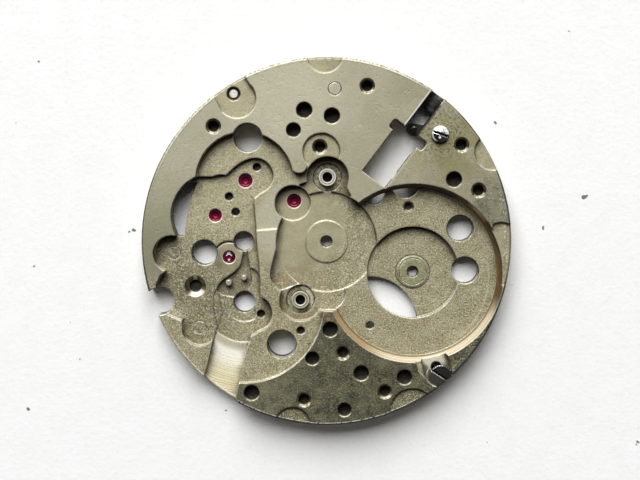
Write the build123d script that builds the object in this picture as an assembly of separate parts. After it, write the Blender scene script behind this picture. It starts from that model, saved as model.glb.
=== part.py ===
"""Main plate of a small round mechanical watch movement, with what stays on it when it is stripped.

Millimetres. +Z points out of the movement side, where the wheels and bridges go. The origin is the
centre of the plate on the rest face of its dial side. Seen from the movement side, the winding stem
runs out at the upper right, the barrel lies at the lower right and the balance at the lower left.
Places and outlines are shares of the plate's radius. Heights are measured up from the rest face.
"""
from build123d import *
from math import atan2, cos, degrees, hypot, radians, sin
import os

# Plate: overall form
plate_radius = 12.95
plate_thickness = 2.20
rim_bevel = 0.09
overrun = 0.60
cut_margin = 0.02
quarter_turn = 90

# Depths of the movement-side floors, below the top face
scallop_depth = 0.18
casing_recess_depth = 0.26
balance_floor_depth = 0.42
dog_pocket_depth = 0.52
fourth_floor_depth = 0.66
notch_ledge_depth = 0.86
barrel_floor_depth = 1.00
low_floor_depth = 1.04
tube_recess_depth = 1.08
centre_bay_depth = 1.18
centre_floor_depth = 1.24
centre_disc_rise = 0.08
ledge_depth = 1.16
channel_inner_depth = 1.18
mid_floor_depth = 1.24
roller_floor_depth = 1.32
fork_pocket_depth = 1.40
third_floor_depth = 1.42
tube_pocket_depth = 1.45
barrel_pocket_depth = 1.50

# Radii of the turned recesses
balance_clearance_radius = 5.64
channel_inner_radius = 2.90
roller_recess_radius = 1.43
centre_recess_radius = 3.57
centre_disc_radius = 1.49
third_recess_radius = 1.27
fourth_recess_radius = 3.43
nose_recess_radius = 1.27
escape_recess_radius = 3.03
upper_ear_radius = 1.30
lower_ear_radius = 1.24
barrel_mouth_radius = 6.31
barrel_floor_radius = 5.93
barrel_pocket_radius = 3.26
arbor_boss_radius = 1.10
arbor_boss_rise = 0.05
upper_screw_recess_radius = 1.31
tube_recess_radius = 1.49
tube_pocket_radius = 1.04
slit_rim_distance = 2.95
slit_end_radius = 0.18
pallet_groove_outer_radius = 1.16
pallet_groove_width = 0.16
pallet_groove_depth = 0.22
casing_recess_radius = 1.36
top_scallop_radius = 1.26
right_scallop_radius = 1.28
bottom_scallop_radius = 1.27
lower_right_scallop_radius = 1.62
rim_notch_radius = 1.00

# Rise of the sloped channel floor from its inner radius outwards, over one plate radius
channel_rise = 0.54

# Winding stem: its axis, slot, cross slot and window
stem_axis_share = (0.602, 0.799)
stem_axis_height = 1.45
stem_bore_radius = 0.53
stem_slot_start_share = 0.757
stem_slot_through_share = 0.900
cross_slot_start_share = 0.700
cross_slot_length = 2.89
cross_slot_corner_radius = 0.20
window_start_share = 0.425
window_width = 2.08

# Holes
steady_hole_radius = 0.53
small_steady_hole_radius = 0.48
bridge_screw_bore_radius = 0.385
bridge_screw_sink_radius = 0.545
bridge_screw_sink_depth = 0.18
blind_hole_depth = 1.10
pivot_hole_radius = 0.26
pivot_hole_depth = 0.50
click_screw_sink_radius = 0.39
click_screw_sink_depth = 0.13
rim_post_mouth_radius = 0.50
rim_post_mouth_depth = 0.45
centre_hole_radius = 0.39
fourth_window_radius = 1.01
pallet_left_hole_radius = 0.89
pallet_right_hole_radius = 0.69
balance_setting_radius = 0.765
stud_carrier_hole_radius = 1.01
barrel_upper_hole_radius = 0.92
barrel_lower_hole_radius = 0.945
cock_screw_sink_radius = 0.765
cock_screw_sink_depth = 0.34
cock_screw_bore_radius = 0.44
cock_screw_bottom_height = 0.40
dial_foot_hole_radius = 0.36
hole_chamfer = 0.055

# Dial side
dial_rim_width = 1.05
dial_ring_width = 1.90
dial_ring_depth = 0.25
motion_recess_radius = 3.90
motion_recess_depth = 0.30
minute_recess_radius = 1.95
date_recess_radius = 3.37
date_recess_overlap = 0.08
slit_recess_overlap = 0.16
slit_wall_inset = 0.03
upper_slit_radius = 0.84
upper_slit_angle = 116.7
lower_slit_radius = 1.00
lower_slit_angle = 95.1
keyless_recess_radius = 2.45
keyless_recess_depth = 0.62
keyless_rim_width = 0.75
yoke_recess_radius = 1.30
spring_recess_radius = 1.16

# Jewels
train_jewel_radius = 0.49
escape_jewel_radius = 0.45
pallet_jewel_radius = 0.44
jewel_thickness = 0.42
jewel_sink = 0.04
jewel_pivot_radius = 0.06
oil_sink_radius = 0.26
oil_sink_depth = 0.10
pallet_jewel_dome = 0.12

# Pins, tubes and posts
banking_pin_1_radius = 0.21
banking_pin_2_radius = 0.19
banking_pin_rise = 0.62
banking_pin_seat = 0.40
pin_bevel = 0.04
tube_radius = 0.62
tube_bore_radius = 0.35
tube_rise = 0.72
tube_seat = 0.40
tube_floor = 0.12
tube_lip = 0.07
bush_radius = 0.95
bush_bore_radius = 0.375
bush_base_height = 0.12
dial_post_radius = 0.44
dial_post_end_height = 0.06
rim_post_radius = 0.30
rim_post_drop = 0.12
minute_post_radius = 0.24
minute_post_seat = 0.50
yoke_post_radius = 0.26
yoke_post_seat = 0.45
post_end_height = 0.05

# Setting lever, its pin and its screw
lever_thickness = 0.38
lever_gap = 0.06
lever_hub_radius = 0.72
lever_pin_radius = 0.21
lever_pin_arm_width = 0.92
lever_pin_top_height = 1.32
lever_tail_length = 1.70
lever_tail_radius = 0.28
lever_screw_shank_radius = 0.30
lever_screw_head_radius = 0.58
lever_screw_head_rise = 0.38
lever_screw_crown = 0.13
running_clearance = 0.02
lever_screw_slot_turn = -20
screw_slot_width = 0.15
screw_slot_depth = 0.16
screw_bevel = 0.03

# Setting lever spring and its screw
spring_thickness = 0.26
spring_arm_width = 0.26
spring_nib_radius = 0.18
spring_base_radius = 0.58
spring_clearance = 0.04
spring_screw_radius = 0.20
spring_screw_seat = 0.42
spring_screw_head_radius = 0.42
spring_screw_head_thickness = 0.22

# Dog screw, which holds the movement in its case
dog_head_radius = 0.75
dog_head_clearance = 0.03
dog_flat_distance = 0.52
dog_head_thickness = 0.36
dog_shank_radius = 0.18
dog_shank_length = 0.95
dog_slot_turn = -33

# Places on the plate
balance_share = (-0.449, -0.332)
barrel_share = (0.473, -0.168)
third_share = (-0.177, 0.222)
fourth_share = (-0.441, 0.334)
escape_share = (-0.606, 0.144)
pallet_share = (-0.532, -0.084)
third_recess_share = (-0.184, 0.212)
nose_recess_share = (-0.385, 0.360)
upper_tube_share = (0.005, 0.352)
lower_tube_share = (-0.1427, -0.3173)
banking_pin_1_share = (-0.5335, -0.2238)
banking_pin_2_share = (-0.4497, -0.1968)
dial_post_shares = [(-0.832, -0.062), (-0.6935, -0.471), (0.044, 0.828)]
minute_post_share = (0.130, 0.275)
yoke_post_share = (0.209, 0.544)
lever_pivot_share = (0.610, 0.586)
lever_pin_share = (0.474, 0.611)
spring_screw_share = (0.595, 0.395)
dog_screw_share = (0.6235, -0.729)
dial_foot_share = (0.600, -0.684)
cock_screw_share = (-0.718, -0.245)
rim_post_share = (-0.500, 0.802)
casing_recess_share = (-0.482, 0.775)
upper_screw_recess_share = (-0.027, 0.491)
upper_ear_share = (-0.838, -0.061)
upper_screw_share = (-0.036, 0.518)
top_scallop_share = (-0.010, 1.010)
right_scallop_share = (0.895, 0.490)
bottom_scallop_share = (-0.185, -0.998)
lower_right_scallop_share = (0.470, -0.922)
rim_notch_share = (-0.908, -0.322)
date_recess_share = (0.240, -0.455)
fourth_window_share = (-0.425, 0.565)
pallet_left_hole_share = (-0.667, -0.060)
pallet_right_hole_share = (-0.451, 0.001)
stud_carrier_hole_share = (-0.244, -0.559)
barrel_upper_hole_share = (0.729, 0.073)
barrel_lower_hole_share = (0.757, -0.157)
click_screw_share = (0.447, 0.192)
date_pivot_share = (0.238, -0.460)
escape_pivot_share = (-0.495, 0.162)
nose_pivot_share = (-0.378, 0.406)
small_escape_hole_share = (-0.530, 0.246)
roller_hole_share = (-0.359, -0.399)
balance_floor_hole_share = (-0.1405, -0.483)

steady_hole_shares = [
    (-0.120, 0.715), (0.029, 0.684), (0.687, 0.342), (0.020, -0.4725),
    (0.189, -0.712), (-0.408, -0.820), (0.425, -0.7345),
]
small_steady_hole_shares = [(-0.178, 0.608), (-0.077, -0.631), (0.098, -0.9135)]
bridge_screw_shares = [
    (-0.608, 0.628), (0.218, 0.844), (0.726, 0.528), (0.820, 0.284),
    (0.089, -0.600), (-0.123, -0.858), (0.318, -0.8135),
]

# Outlines, each a run of curve points and the straight closing points behind it
centre_left_wall_shares = [
    (-0.240, 0.128), (-0.261, 0.078), (-0.269, 0.003), (-0.285, -0.067),
    (-0.303, -0.135), (-0.307, -0.185), (-0.292, -0.222), (-0.250, -0.268),
]
centre_left_close_shares = [(-0.120, -0.220), (-0.100, 0.150)]
fourth_finger_shares = [
    (-0.244, 0.496), (-0.220, 0.456), (-0.200, 0.410), (-0.178, 0.386),
    (-0.152, 0.376), (-0.128, 0.380), (-0.112, 0.396), (-0.104, 0.420),
]
fourth_close_shares = [
    (-0.100, 0.330), (-0.090, 0.250), (-0.184, 0.150), (-0.240, 0.128),
    (-0.262, 0.0735), (-0.376, 0.064), (-0.440, 0.120),
]
well_limit_shares = [(-0.900, 0.357), (-0.420, 0.357), (-0.420, -0.100), (-0.900, -0.100)]
step_wall_shares = [(-0.702, 0.354), (-0.663, 0.346), (-0.621, 0.357), (-0.546, 0.364)]
nose_wall_shares = [(-0.546, 0.364), (-0.524, 0.386), (-0.462, 0.435), (-0.400, 0.458)]
nose_close_shares = [
    (-0.385, 0.360), (-0.350, 0.270), (-0.392, 0.236), (-0.520, 0.200), (-0.700, 0.200),
]
shelf_edge_shares = [
    (-0.871, -0.149), (-0.884, -0.168), (-0.898, -0.172), (-0.925, -0.232),
    (-0.908, -0.322), (-0.8325, -0.3385), (-0.8237, -0.365), (-0.8014, -0.392),
    (-0.779, -0.4185), (-0.790, -0.432), (-0.787, -0.480), (-0.690, -0.480), (-0.600, -0.468),
]
shelf_right_shares = [
    (-0.596, -0.440), (-0.595, -0.385), (-0.603, -0.320), (-0.590, -0.255),
    (-0.555, -0.225), (-0.515, -0.190), (-0.465, -0.140), (-0.450, -0.080),
]
shelf_close_shares = [(-0.436, -0.020), (-0.450, 0.060), (-0.740, 0.020), (-0.832, -0.030)]
strip_edge_shares = [
    (-0.392, 0.236), (-0.386, 0.140), (-0.380, 0.068), (-0.377, -0.004),
    (-0.370, -0.067), (-0.364, -0.125), (-0.362, -0.190),
]
strip_close_shares = [
    (-0.450, -0.215), (-0.450, -0.149), (-0.438, -0.060), (-0.470, 0.060), (-0.450, 0.260),
]
ledge_left_shares = [
    (-0.600, -0.468), (-0.618, -0.385), (-0.623, -0.308), (-0.611, -0.271), (-0.604, -0.262),
]
ledge_close_shares = [(-0.580, -0.262), (-0.580, -0.330), (-0.560, -0.400), (-0.590, -0.470)]
mid_upper_shares = [
    (-0.420, -0.142), (-0.390, -0.152), (-0.366, -0.180), (-0.359, -0.230), (-0.356, -0.300),
]
mid_bulge_shares = [
    (-0.356, -0.300), (-0.320, -0.320), (-0.297, -0.368),
    (-0.298, -0.418), (-0.315, -0.454), (-0.362, -0.486),
]
mid_close_shares = [
    (-0.413, -0.517), (-0.430, -0.590), (-0.610, -0.590), (-0.606, -0.480), (-0.568, -0.387),
    (-0.585, -0.328), (-0.592, -0.262), (-0.560, -0.240), (-0.520, -0.210),
]
roller_limit_shares = [
    (-0.600, -0.260), (-0.432, -0.268), (-0.400, -0.330),
    (-0.385, -0.400), (-0.420, -0.500), (-0.600, -0.500),
]
slit_limit_shares = [(-0.900, 0.326), (-0.640, 0.326), (-0.640, 0.030), (-0.900, 0.030)]
groove_limit_shares = [(-0.660, -0.050), (-0.440, -0.030), (-0.440, 0.060), (-0.660, 0.060)]
fork_right_shares = [
    (-0.4265, -0.035), (-0.421, -0.120), (-0.411, -0.185), (-0.412, -0.235), (-0.432, -0.268),
]
fork_bottom_shares = [
    (-0.432, -0.268), (-0.510, -0.306), (-0.550, -0.301), (-0.582, -0.289), (-0.604, -0.262),
]
fork_left_shares = [
    (-0.604, -0.262), (-0.571, -0.211), (-0.523, -0.177),
    (-0.476, -0.132), (-0.462, -0.078), (-0.444, -0.030),
]
channel_left_shares = [
    (-0.568, -0.387), (-0.606, -0.480), (-0.634, -0.590), (-0.654, -0.676), (-0.671, -0.731),
]
channel_right_shares = [
    (-0.482, -0.872), (-0.491, -0.835), (-0.477, -0.772), (-0.450, -0.640), (-0.413, -0.517),
]
channel_mouth_shares = [(-0.740, -0.860), (-0.560, -1.000), (-0.440, -1.000)]
channel_throat_shares = [(-0.360, -0.420), (-0.449, -0.332)]
lower_left_land_shares = [(-0.960, -0.350), (-0.600, -0.350), (-0.600, -0.860), (-0.960, -0.700)]
balance_strip_shares = [
    (-0.376, 0.064), (-0.262, 0.0735), (-0.100, -0.100), (-0.100, -0.350), (-0.376, -0.350),
]
notch_ledge_shares = [
    (-0.840, -0.330), (-0.775, -0.400), (-0.779, -0.4185),
    (-0.790, -0.432), (-0.8547, -0.4007), (-0.8816, -0.3896),
]
upper_tube_bay_shares = [
    (-0.150, 0.314), (-0.106, 0.330), (0.000, 0.400), (0.117, 0.380),
    (0.112, 0.292), (0.134, 0.252), (0.090, 0.180), (-0.100, 0.180),
]
lower_bay_right_shares = [(0.100, -0.250), (0.104, -0.290), (0.091, -0.330), (0.055, -0.363)]
lower_bay_close_shares = [(0.050, -0.374), (-0.024, -0.374), (-0.100, -0.360), (-0.100, -0.200)]
casing_bay_shares = [
    (-0.394, 0.812), (-0.445, 0.912), (-0.560, 0.860), (-0.640, 0.800),
    (-0.605, 0.785), (-0.560, 0.700), (-0.480, 0.700),
]
right_strip_shares = [(0.900, 0.100), (0.940, 0.112), (0.985, 0.104)]
right_strip_close_shares = [(1.040, 0.080), (1.040, -0.235), (0.920, -0.235), (0.880, -0.060)]
dog_pocket_left_shares = [
    (0.513, -0.652), (0.528, -0.696), (0.537, -0.732), (0.558, -0.764), (0.612, -0.788),
]
dog_pocket_close_shares = [
    (0.660, -0.840), (0.760, -0.760), (0.685, -0.717), (0.676, -0.670), (0.662, -0.616),
]
dog_pocket_throat_shares = [(0.560, -0.560)]
dog_apron_shares = [(0.478, -0.640), (0.500, -0.700), (0.540, -0.740), (0.560, -0.600)]


def across(height):
    """How far a cut runs from this height to clear air above the plate."""
    return plate_thickness - height + overrun


def spot(share, height=0):
    """The place of a share of the plate's radius, at a height."""
    return Pos(share[0] * plate_radius, share[1] * plate_radius, height)


def point(share):
    """The same place as a flat point for outlines."""
    return (share[0] * plate_radius, share[1] * plate_radius)


def floor_at(depth):
    """Height of a floor that lies this deep under the top face."""
    return plate_thickness - depth


def disc(share, radius):
    """A round outline about a place."""
    return spot(share) * Circle(radius)


def patch(shares):
    """A straight-sided outline."""
    return make_face(Polyline(*[point(share) for share in shares], close=True))


def bay(curves, closing):
    """An outline of one or more curves, end to end, closed by straight runs."""
    edges = [Spline(*[point(share) for share in curve]) for curve in curves]
    joints = [curves[-1][-1], *closing, curves[0][0]]
    return make_face([*edges, Polyline(*[point(share) for share in joints])])


def sunk(outline, depth):
    """What is cut away to leave a flat floor at this depth."""
    height = floor_at(depth)
    return extrude(Pos(0, 0, height) * outline, across(height))


def dished(outline, height):
    """What is cut away from the dial side up to this height."""
    return extrude(Pos(0, 0, -overrun) * outline, height + overrun)


def post(share, radius, low, high):
    """An upright round bar between two heights."""
    return spot(share, low) * Cylinder(radius, high - low, align=(Align.CENTER, Align.CENTER, Align.MIN))


def cone(share, low_radius, high_radius, low, high):
    """An upright cone frustum between two heights."""
    lift = (Align.CENTER, Align.CENTER, Align.MIN)
    return spot(share, low) * Cone(low_radius, high_radius, high - low, align=lift)


def drilled(share, radius, surface, bottom):
    """A hole with a broken edge at its mouth."""
    shaft = post(share, radius, bottom, plate_thickness + overrun)
    mouth_radius = radius + hole_chamfer + cut_margin
    return shaft + cone(share, radius, mouth_radius, surface - hole_chamfer, surface + cut_margin)


def countersunk(share, bore_radius, sink_radius, sink_depth, surface, bottom):
    """A screw hole whose mouth opens to a cone above its bore."""
    mouth_radius = sink_radius + cut_margin * (sink_radius - bore_radius) / sink_depth
    sink = cone(share, bore_radius, mouth_radius, surface - sink_depth, surface + cut_margin)
    return sink + post(share, bore_radius, bottom, surface)


def along_stem(start, end, width, low, high):
    """A box along the stem's axis, between two distances from the centre."""
    turn = degrees(atan2(stem_axis_share[1], stem_axis_share[0]))
    box = Box(end - start, width, high - low, align=(Align.MIN, Align.CENTER, Align.MIN))
    return Rot(0, 0, turn) * Pos(start, 0, low) * box


def turned(share, angle):
    """A local frame at a place, turned about the vertical."""
    return spot(share) * Rot(0, 0, angle)


def link(start, end, width, low, high):
    """A flat bar with round ends between two places."""
    run = (point(end)[0] - point(start)[0], point(end)[1] - point(start)[1])
    length = hypot(*run)
    bar = Pos(length / 2, 0) * SlotCenterToCenter(length, width)
    return turned(start, degrees(atan2(run[1], run[0]))) * extrude(Pos(0, 0, low) * bar, high - low)


def low_floor_outline():
    """The escape wheel's well, the cock's shelf and the strip beside the balance, all at one level."""
    well = disc(escape_share, escape_recess_radius)
    well = well & patch(well_limit_shares)
    nose = disc(nose_recess_share, nose_recess_radius)
    nose = nose + bay([step_wall_shares, nose_wall_shares], nose_close_shares)
    ears = disc(upper_ear_share, upper_ear_radius) + disc(dial_post_shares[1], lower_ear_radius)
    shelf = patch([*shelf_edge_shares, *shelf_right_shares, *shelf_close_shares])
    strip = bay([strip_edge_shares], strip_close_shares)
    return well + nose + ears + shelf + strip


def channel_cut():
    """The balance wheel's way to the rim: a turned floor that rises away from the balance."""
    closing = [*channel_mouth_shares, *channel_right_shares, *channel_throat_shares]
    outline = bay([channel_left_shares], closing)
    prism = sunk(outline, mid_floor_depth)
    inner = floor_at(channel_inner_depth)
    low = inner - channel_inner_radius * channel_rise / plate_radius
    high = low + channel_rise
    top = plate_thickness + overrun
    corners = [(0, 0, low), (plate_radius, 0, high), (plate_radius, 0, top), (0, 0, top)]
    profile = make_face(Polyline(*corners, close=True))
    return prism & (spot(balance_share) * revolve(profile, Axis.Z))


def movement_side_recesses():
    """Every floor that is sunk from the movement side."""
    scallops = (disc(top_scallop_share, top_scallop_radius)
                + disc(right_scallop_share, right_scallop_radius)
                + disc(bottom_scallop_share, bottom_scallop_radius)
                + disc(lower_right_scallop_share, lower_right_scallop_radius)
                + bay([right_strip_shares], right_strip_close_shares))
    casing = disc(casing_recess_share, casing_recess_radius) + patch(casing_bay_shares)
    balance = (disc(balance_share, balance_clearance_radius) + patch(lower_left_land_shares)
               + patch(balance_strip_shares))
    fourth = disc(fourth_share, fourth_recess_radius) + bay([fourth_finger_shares], fourth_close_shares)
    tubes = (disc(upper_tube_share, tube_recess_radius) + patch(upper_tube_bay_shares)
             + disc(lower_tube_share, tube_recess_radius)
             + bay([lower_bay_right_shares], lower_bay_close_shares))
    centre = disc((0, 0), centre_recess_radius)
    mid = bay([mid_upper_shares, mid_bulge_shares], mid_close_shares)
    mid = mid & disc(balance_share, channel_inner_radius)
    fork = bay([fork_right_shares, fork_bottom_shares, fork_left_shares], [])
    dog = (bay([dog_pocket_left_shares], dog_pocket_close_shares + dog_pocket_throat_shares)
           + disc(dog_screw_share, dog_head_radius + dog_head_clearance))
    pockets = disc(upper_tube_share, tube_pocket_radius) + disc(lower_tube_share, tube_pocket_radius)
    return [
        sunk(scallops, scallop_depth),
        sunk(patch(dog_apron_shares), scallop_depth),
        sunk(casing, casing_recess_depth),
        sunk(disc(upper_screw_recess_share, upper_screw_recess_radius), scallop_depth),
        sunk(balance, balance_floor_depth),
        sunk(fourth, fourth_floor_depth),
        sunk(tubes, tube_recess_depth),
        sunk(patch(notch_ledge_shares), notch_ledge_depth),
        sunk(bay([centre_left_wall_shares], centre_left_close_shares), centre_bay_depth),
        sunk(centre, centre_floor_depth - centre_disc_rise),
        sunk(centre - disc((0, 0), centre_disc_radius), centre_floor_depth),
        sunk(low_floor_outline(), low_floor_depth),
        sunk(bay([ledge_left_shares], ledge_close_shares), ledge_depth),
        sunk(mid, mid_floor_depth),
        sunk(disc(third_recess_share, third_recess_radius), third_floor_depth),
        sunk(disc(balance_share, roller_recess_radius) & patch(roller_limit_shares), roller_floor_depth),
        sunk(fork, fork_pocket_depth),
        sunk(dog, dog_pocket_depth),
        sunk(pockets, tube_pocket_depth),
        channel_cut(),
    ]


def barrel_recess():
    """The barrel's well, with its sloped wall, and the deeper pocket about the arbor."""
    floor = floor_at(barrel_floor_depth)
    slope = (barrel_mouth_radius - barrel_floor_radius) / barrel_floor_depth
    well = cone(barrel_share, barrel_floor_radius, barrel_mouth_radius + slope * overrun, floor,
                plate_thickness + overrun)
    ring = disc(barrel_share, barrel_pocket_radius) - disc(barrel_share, arbor_boss_radius)
    boss = disc(barrel_share, arbor_boss_radius)
    return [well, sunk(ring, barrel_pocket_depth), sunk(boss, barrel_pocket_depth - arbor_boss_rise)]


def pallet_groove():
    """The half-round groove on the far side of the pallet jewel's boss."""
    inner = pallet_groove_outer_radius - pallet_groove_width
    ring = disc(pallet_share, pallet_groove_outer_radius) - disc(pallet_share, inner)
    return sunk(ring & patch(groove_limit_shares), low_floor_depth + pallet_groove_depth)


def stem_cuts():
    """The winding stem's slot and bore, the cross slot behind it and the clutch window."""
    slot_start = stem_slot_start_share * plate_radius
    slot_through = stem_slot_through_share * plate_radius
    cross_start = cross_slot_start_share * plate_radius
    window_start = window_start_share * plate_radius
    past_rim = plate_radius + overrun
    top = plate_thickness + overrun
    turn = degrees(atan2(stem_axis_share[1], stem_axis_share[0]))
    bore = Cylinder(stem_bore_radius, past_rim - slot_start, rotation=(0, quarter_turn, 0),
                    align=(Align.CENTER, Align.CENTER, Align.MIN))
    outline = RectangleRounded(slot_start - cross_start, cross_slot_length, cross_slot_corner_radius)
    cross = Pos((cross_start + slot_start) / 2, 0, -overrun) * extrude(outline, top + overrun)
    return [
        along_stem(slot_start - hole_chamfer, past_rim, stem_bore_radius * 2, stem_axis_height, top),
        Rot(0, 0, turn) * Pos(slot_start, 0, stem_axis_height) * bore,
        along_stem(slot_start - hole_chamfer, slot_through, stem_bore_radius * 2, -overrun, top),
        Rot(0, 0, turn) * cross,
        along_stem(window_start, cross_start + hole_chamfer, window_width, -overrun, top),
    ]


def through_holes():
    """The openings that go right through the plate."""
    top = plate_thickness
    low = floor_at(low_floor_depth)
    balance = floor_at(balance_floor_depth)
    barrel = floor_at(barrel_floor_depth)
    disc_top = floor_at(centre_floor_depth - centre_disc_rise)
    slit = disc(escape_share, escape_recess_radius) - disc((0, 0), plate_radius - slit_rim_distance)
    slit = slit & patch(slit_limit_shares)
    slit = fillet(slit.vertices().sort_by(Axis.Y)[:2], slit_end_radius)
    return [
        countersunk(rim_post_share, rim_post_radius, rim_post_mouth_radius, rim_post_mouth_depth,
                    floor_at(casing_recess_depth), -overrun),
        drilled(fourth_window_share, fourth_window_radius, top, -overrun),
        drilled(pallet_left_hole_share, pallet_left_hole_radius, low, -overrun),
        drilled(pallet_right_hole_share, pallet_right_hole_radius, low, -overrun),
        drilled(balance_share, balance_setting_radius, floor_at(roller_floor_depth), -overrun),
        drilled(stud_carrier_hole_share, stud_carrier_hole_radius, balance, -overrun),
        drilled(barrel_upper_hole_share, barrel_upper_hole_radius, barrel, -overrun),
        drilled(barrel_lower_hole_share, barrel_lower_hole_radius, barrel, -overrun),
        drilled((0, 0), centre_hole_radius, disc_top, -overrun),
        drilled(escape_pivot_share, pivot_hole_radius, low, -overrun),
        post(rim_notch_share, rim_notch_radius, -overrun, top + overrun),
        post(lever_pivot_share, lever_screw_shank_radius + running_clearance, -overrun, top + overrun),
        drilled(dial_foot_share, dial_foot_hole_radius, floor_at(dog_pocket_depth), -overrun),
        extrude(Pos(0, 0, -overrun) * slit, plate_thickness + overrun),
    ]


def blind_holes():
    """Screw, steady-pin and pivot holes that stop inside the plate."""
    top = plate_thickness
    bottom = floor_at(blind_hole_depth)
    holes = [drilled(share, steady_hole_radius, top, bottom) for share in steady_hole_shares]
    holes += [drilled(share, small_steady_hole_radius, top, bottom) for share in small_steady_hole_shares]
    sink = (bridge_screw_bore_radius, bridge_screw_sink_radius, bridge_screw_sink_depth)
    holes += [countersunk(share, *sink, top, bottom) for share in bridge_screw_shares]
    recess = floor_at(scallop_depth)
    holes.append(countersunk(upper_screw_share, *sink, recess, recess - blind_hole_depth))
    holes.append(countersunk(cock_screw_share, cock_screw_bore_radius, cock_screw_sink_radius,
                             cock_screw_sink_depth, floor_at(low_floor_depth), cock_screw_bottom_height))
    barrel = floor_at(barrel_floor_depth)
    holes.append(countersunk(click_screw_share, pivot_hole_radius, click_screw_sink_radius,
                             click_screw_sink_depth, barrel, barrel - pivot_hole_depth))
    pivots = [
        (date_pivot_share, barrel_floor_depth), (nose_pivot_share, low_floor_depth),
        (small_escape_hole_share, low_floor_depth), (roller_hole_share, mid_floor_depth),
        (balance_floor_hole_share, balance_floor_depth),
    ]
    for share, depth in pivots:
        holes.append(drilled(share, pivot_hole_radius, floor_at(depth), floor_at(depth) - pivot_hole_depth))
    return holes


def seats():
    """The holes that hold jewels, pins, tubes, posts and fixed screws."""
    third = floor_at(third_floor_depth)
    low = floor_at(low_floor_depth)
    cuts = [
        drilled(third_share, train_jewel_radius, third, -overrun),
        drilled(fourth_share, train_jewel_radius, low, -overrun),
        drilled(escape_share, escape_jewel_radius, low, -overrun),
        drilled(pallet_share, pallet_jewel_radius, low, -overrun),
        post(barrel_share, bush_radius, -overrun, plate_thickness),
    ]
    fork = floor_at(fork_pocket_depth)
    cuts.append(post(banking_pin_1_share, banking_pin_1_radius, fork - banking_pin_seat, fork + overrun))
    cuts.append(post(banking_pin_2_share, banking_pin_2_radius, fork - banking_pin_seat, fork + overrun))
    pocket = floor_at(tube_pocket_depth)
    for share in (upper_tube_share, lower_tube_share):
        cuts.append(post(share, tube_radius, pocket - tube_seat, pocket + overrun))
    for share in dial_post_shares:
        cuts.append(post(share, dial_post_radius, -overrun, plate_thickness + overrun))
    cuts.append(post(minute_post_share, minute_post_radius, 0, motion_recess_depth + minute_post_seat))
    cuts.append(post(yoke_post_share, yoke_post_radius, 0, keyless_recess_depth + yoke_post_seat))
    cuts.append(post(spring_screw_share, spring_screw_radius, 0, keyless_recess_depth + spring_screw_seat))
    dog_floor = floor_at(dog_pocket_depth)
    cuts.append(post(dog_screw_share, dog_shank_radius + running_clearance,
                     dog_floor - dog_shank_length - running_clearance, dog_floor + overrun))
    return cuts


def slit_share(angle):
    """Where a recess breaks through the barrel's wall, at this angle about the barrel, as a share."""
    reach = (barrel_mouth_radius - slit_wall_inset) / plate_radius
    return (barrel_share[0] + reach * cos(radians(angle)), barrel_share[1] + reach * sin(radians(angle)))


def dial_side_recesses():
    """What is sunk from the dial side: the ring, the motion work, the date wheel and the keyless work."""
    ring_outer_radius = plate_radius - dial_rim_width
    ring = disc((0, 0), ring_outer_radius) - disc((0, 0), ring_outer_radius - dial_ring_width)
    motion = disc((0, 0), motion_recess_radius) + disc(minute_post_share, minute_recess_radius)
    keyless = (disc(lever_pivot_share, keyless_recess_radius)
               + disc(spring_screw_share, spring_recess_radius)
               + disc(yoke_post_share, yoke_recess_radius))
    keyless = keyless & disc((0, 0), plate_radius - keyless_rim_width)
    slits = (disc(slit_share(upper_slit_angle), upper_slit_radius)
             + disc(slit_share(lower_slit_angle), lower_slit_radius))
    return [
        dished(ring, dial_ring_depth),
        dished(motion, motion_recess_depth),
        dished(keyless, keyless_recess_depth),
        dished(disc(date_recess_share, date_recess_radius),
               floor_at(barrel_pocket_depth) + date_recess_overlap),
        dished(slits, floor_at(barrel_floor_depth) + slit_recess_overlap),
    ]


def main_plate():
    """The plate itself: a bevelled disc with every floor, slot and hole cut into it."""
    body = Cylinder(plate_radius, plate_thickness, align=(Align.CENTER, Align.CENTER, Align.MIN))
    body = chamfer(body.edges().filter_by(GeomType.CIRCLE), rim_bevel)
    for group in (movement_side_recesses(), barrel_recess(), [pallet_groove()], dial_side_recesses(),
                  stem_cuts(), through_holes(), blind_holes(), seats()):
        body = body - group
    return body


def jewel(share, radius, surface, dome=0):
    """A pressed jewel with its pivot hole and oil sink, flat or domed on top."""
    top = surface - jewel_sink
    stone = post(share, radius, top - jewel_thickness, top)
    if dome:
        ball_radius = (radius ** 2 + dome ** 2) / (2 * dome)
        cap = spot(share, top + dome - ball_radius) * Sphere(ball_radius)
        stone = stone + (cap & post(share, radius, top, top + dome))
        top = top + dome
    else:
        stone = stone - cone(share, jewel_pivot_radius, oil_sink_radius, top - oil_sink_depth, top)
    return stone - post(share, jewel_pivot_radius, top - jewel_thickness - overrun, top + overrun)


def pin(share, radius, low, high):
    """A round pin with a bevelled upper end."""
    shaft = post(share, radius, low, high - pin_bevel)
    return shaft + cone(share, radius, radius - pin_bevel, high - pin_bevel, high)


def bridge_tube(share):
    """A threaded tube for a bridge screw, pressed into its pocket, with a stepped rim."""
    pocket = floor_at(tube_pocket_depth)
    low = pocket - tube_seat
    high = pocket + tube_rise
    tube = post(share, tube_radius, low, high)
    tube = tube - post(share, tube_bore_radius, low + tube_floor, high + overrun)
    lip = tube_bore_radius + tube_lip
    return tube - cone(share, tube_bore_radius, lip, high - tube_lip, high)


def arbor_bush():
    """The bush in which the barrel's arbor turns."""
    top = floor_at(barrel_pocket_depth - arbor_boss_rise)
    bush = post(barrel_share, bush_radius, bush_base_height, top)
    bush = bush - post(barrel_share, bush_bore_radius, -overrun, top + overrun)
    mouth_radius = bush_bore_radius + hole_chamfer
    return bush - cone(barrel_share, bush_bore_radius, mouth_radius, top - hole_chamfer, top)


def lever_low():
    """Height of the setting lever's dial-side face."""
    return keyless_recess_depth - lever_gap - lever_thickness


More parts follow.
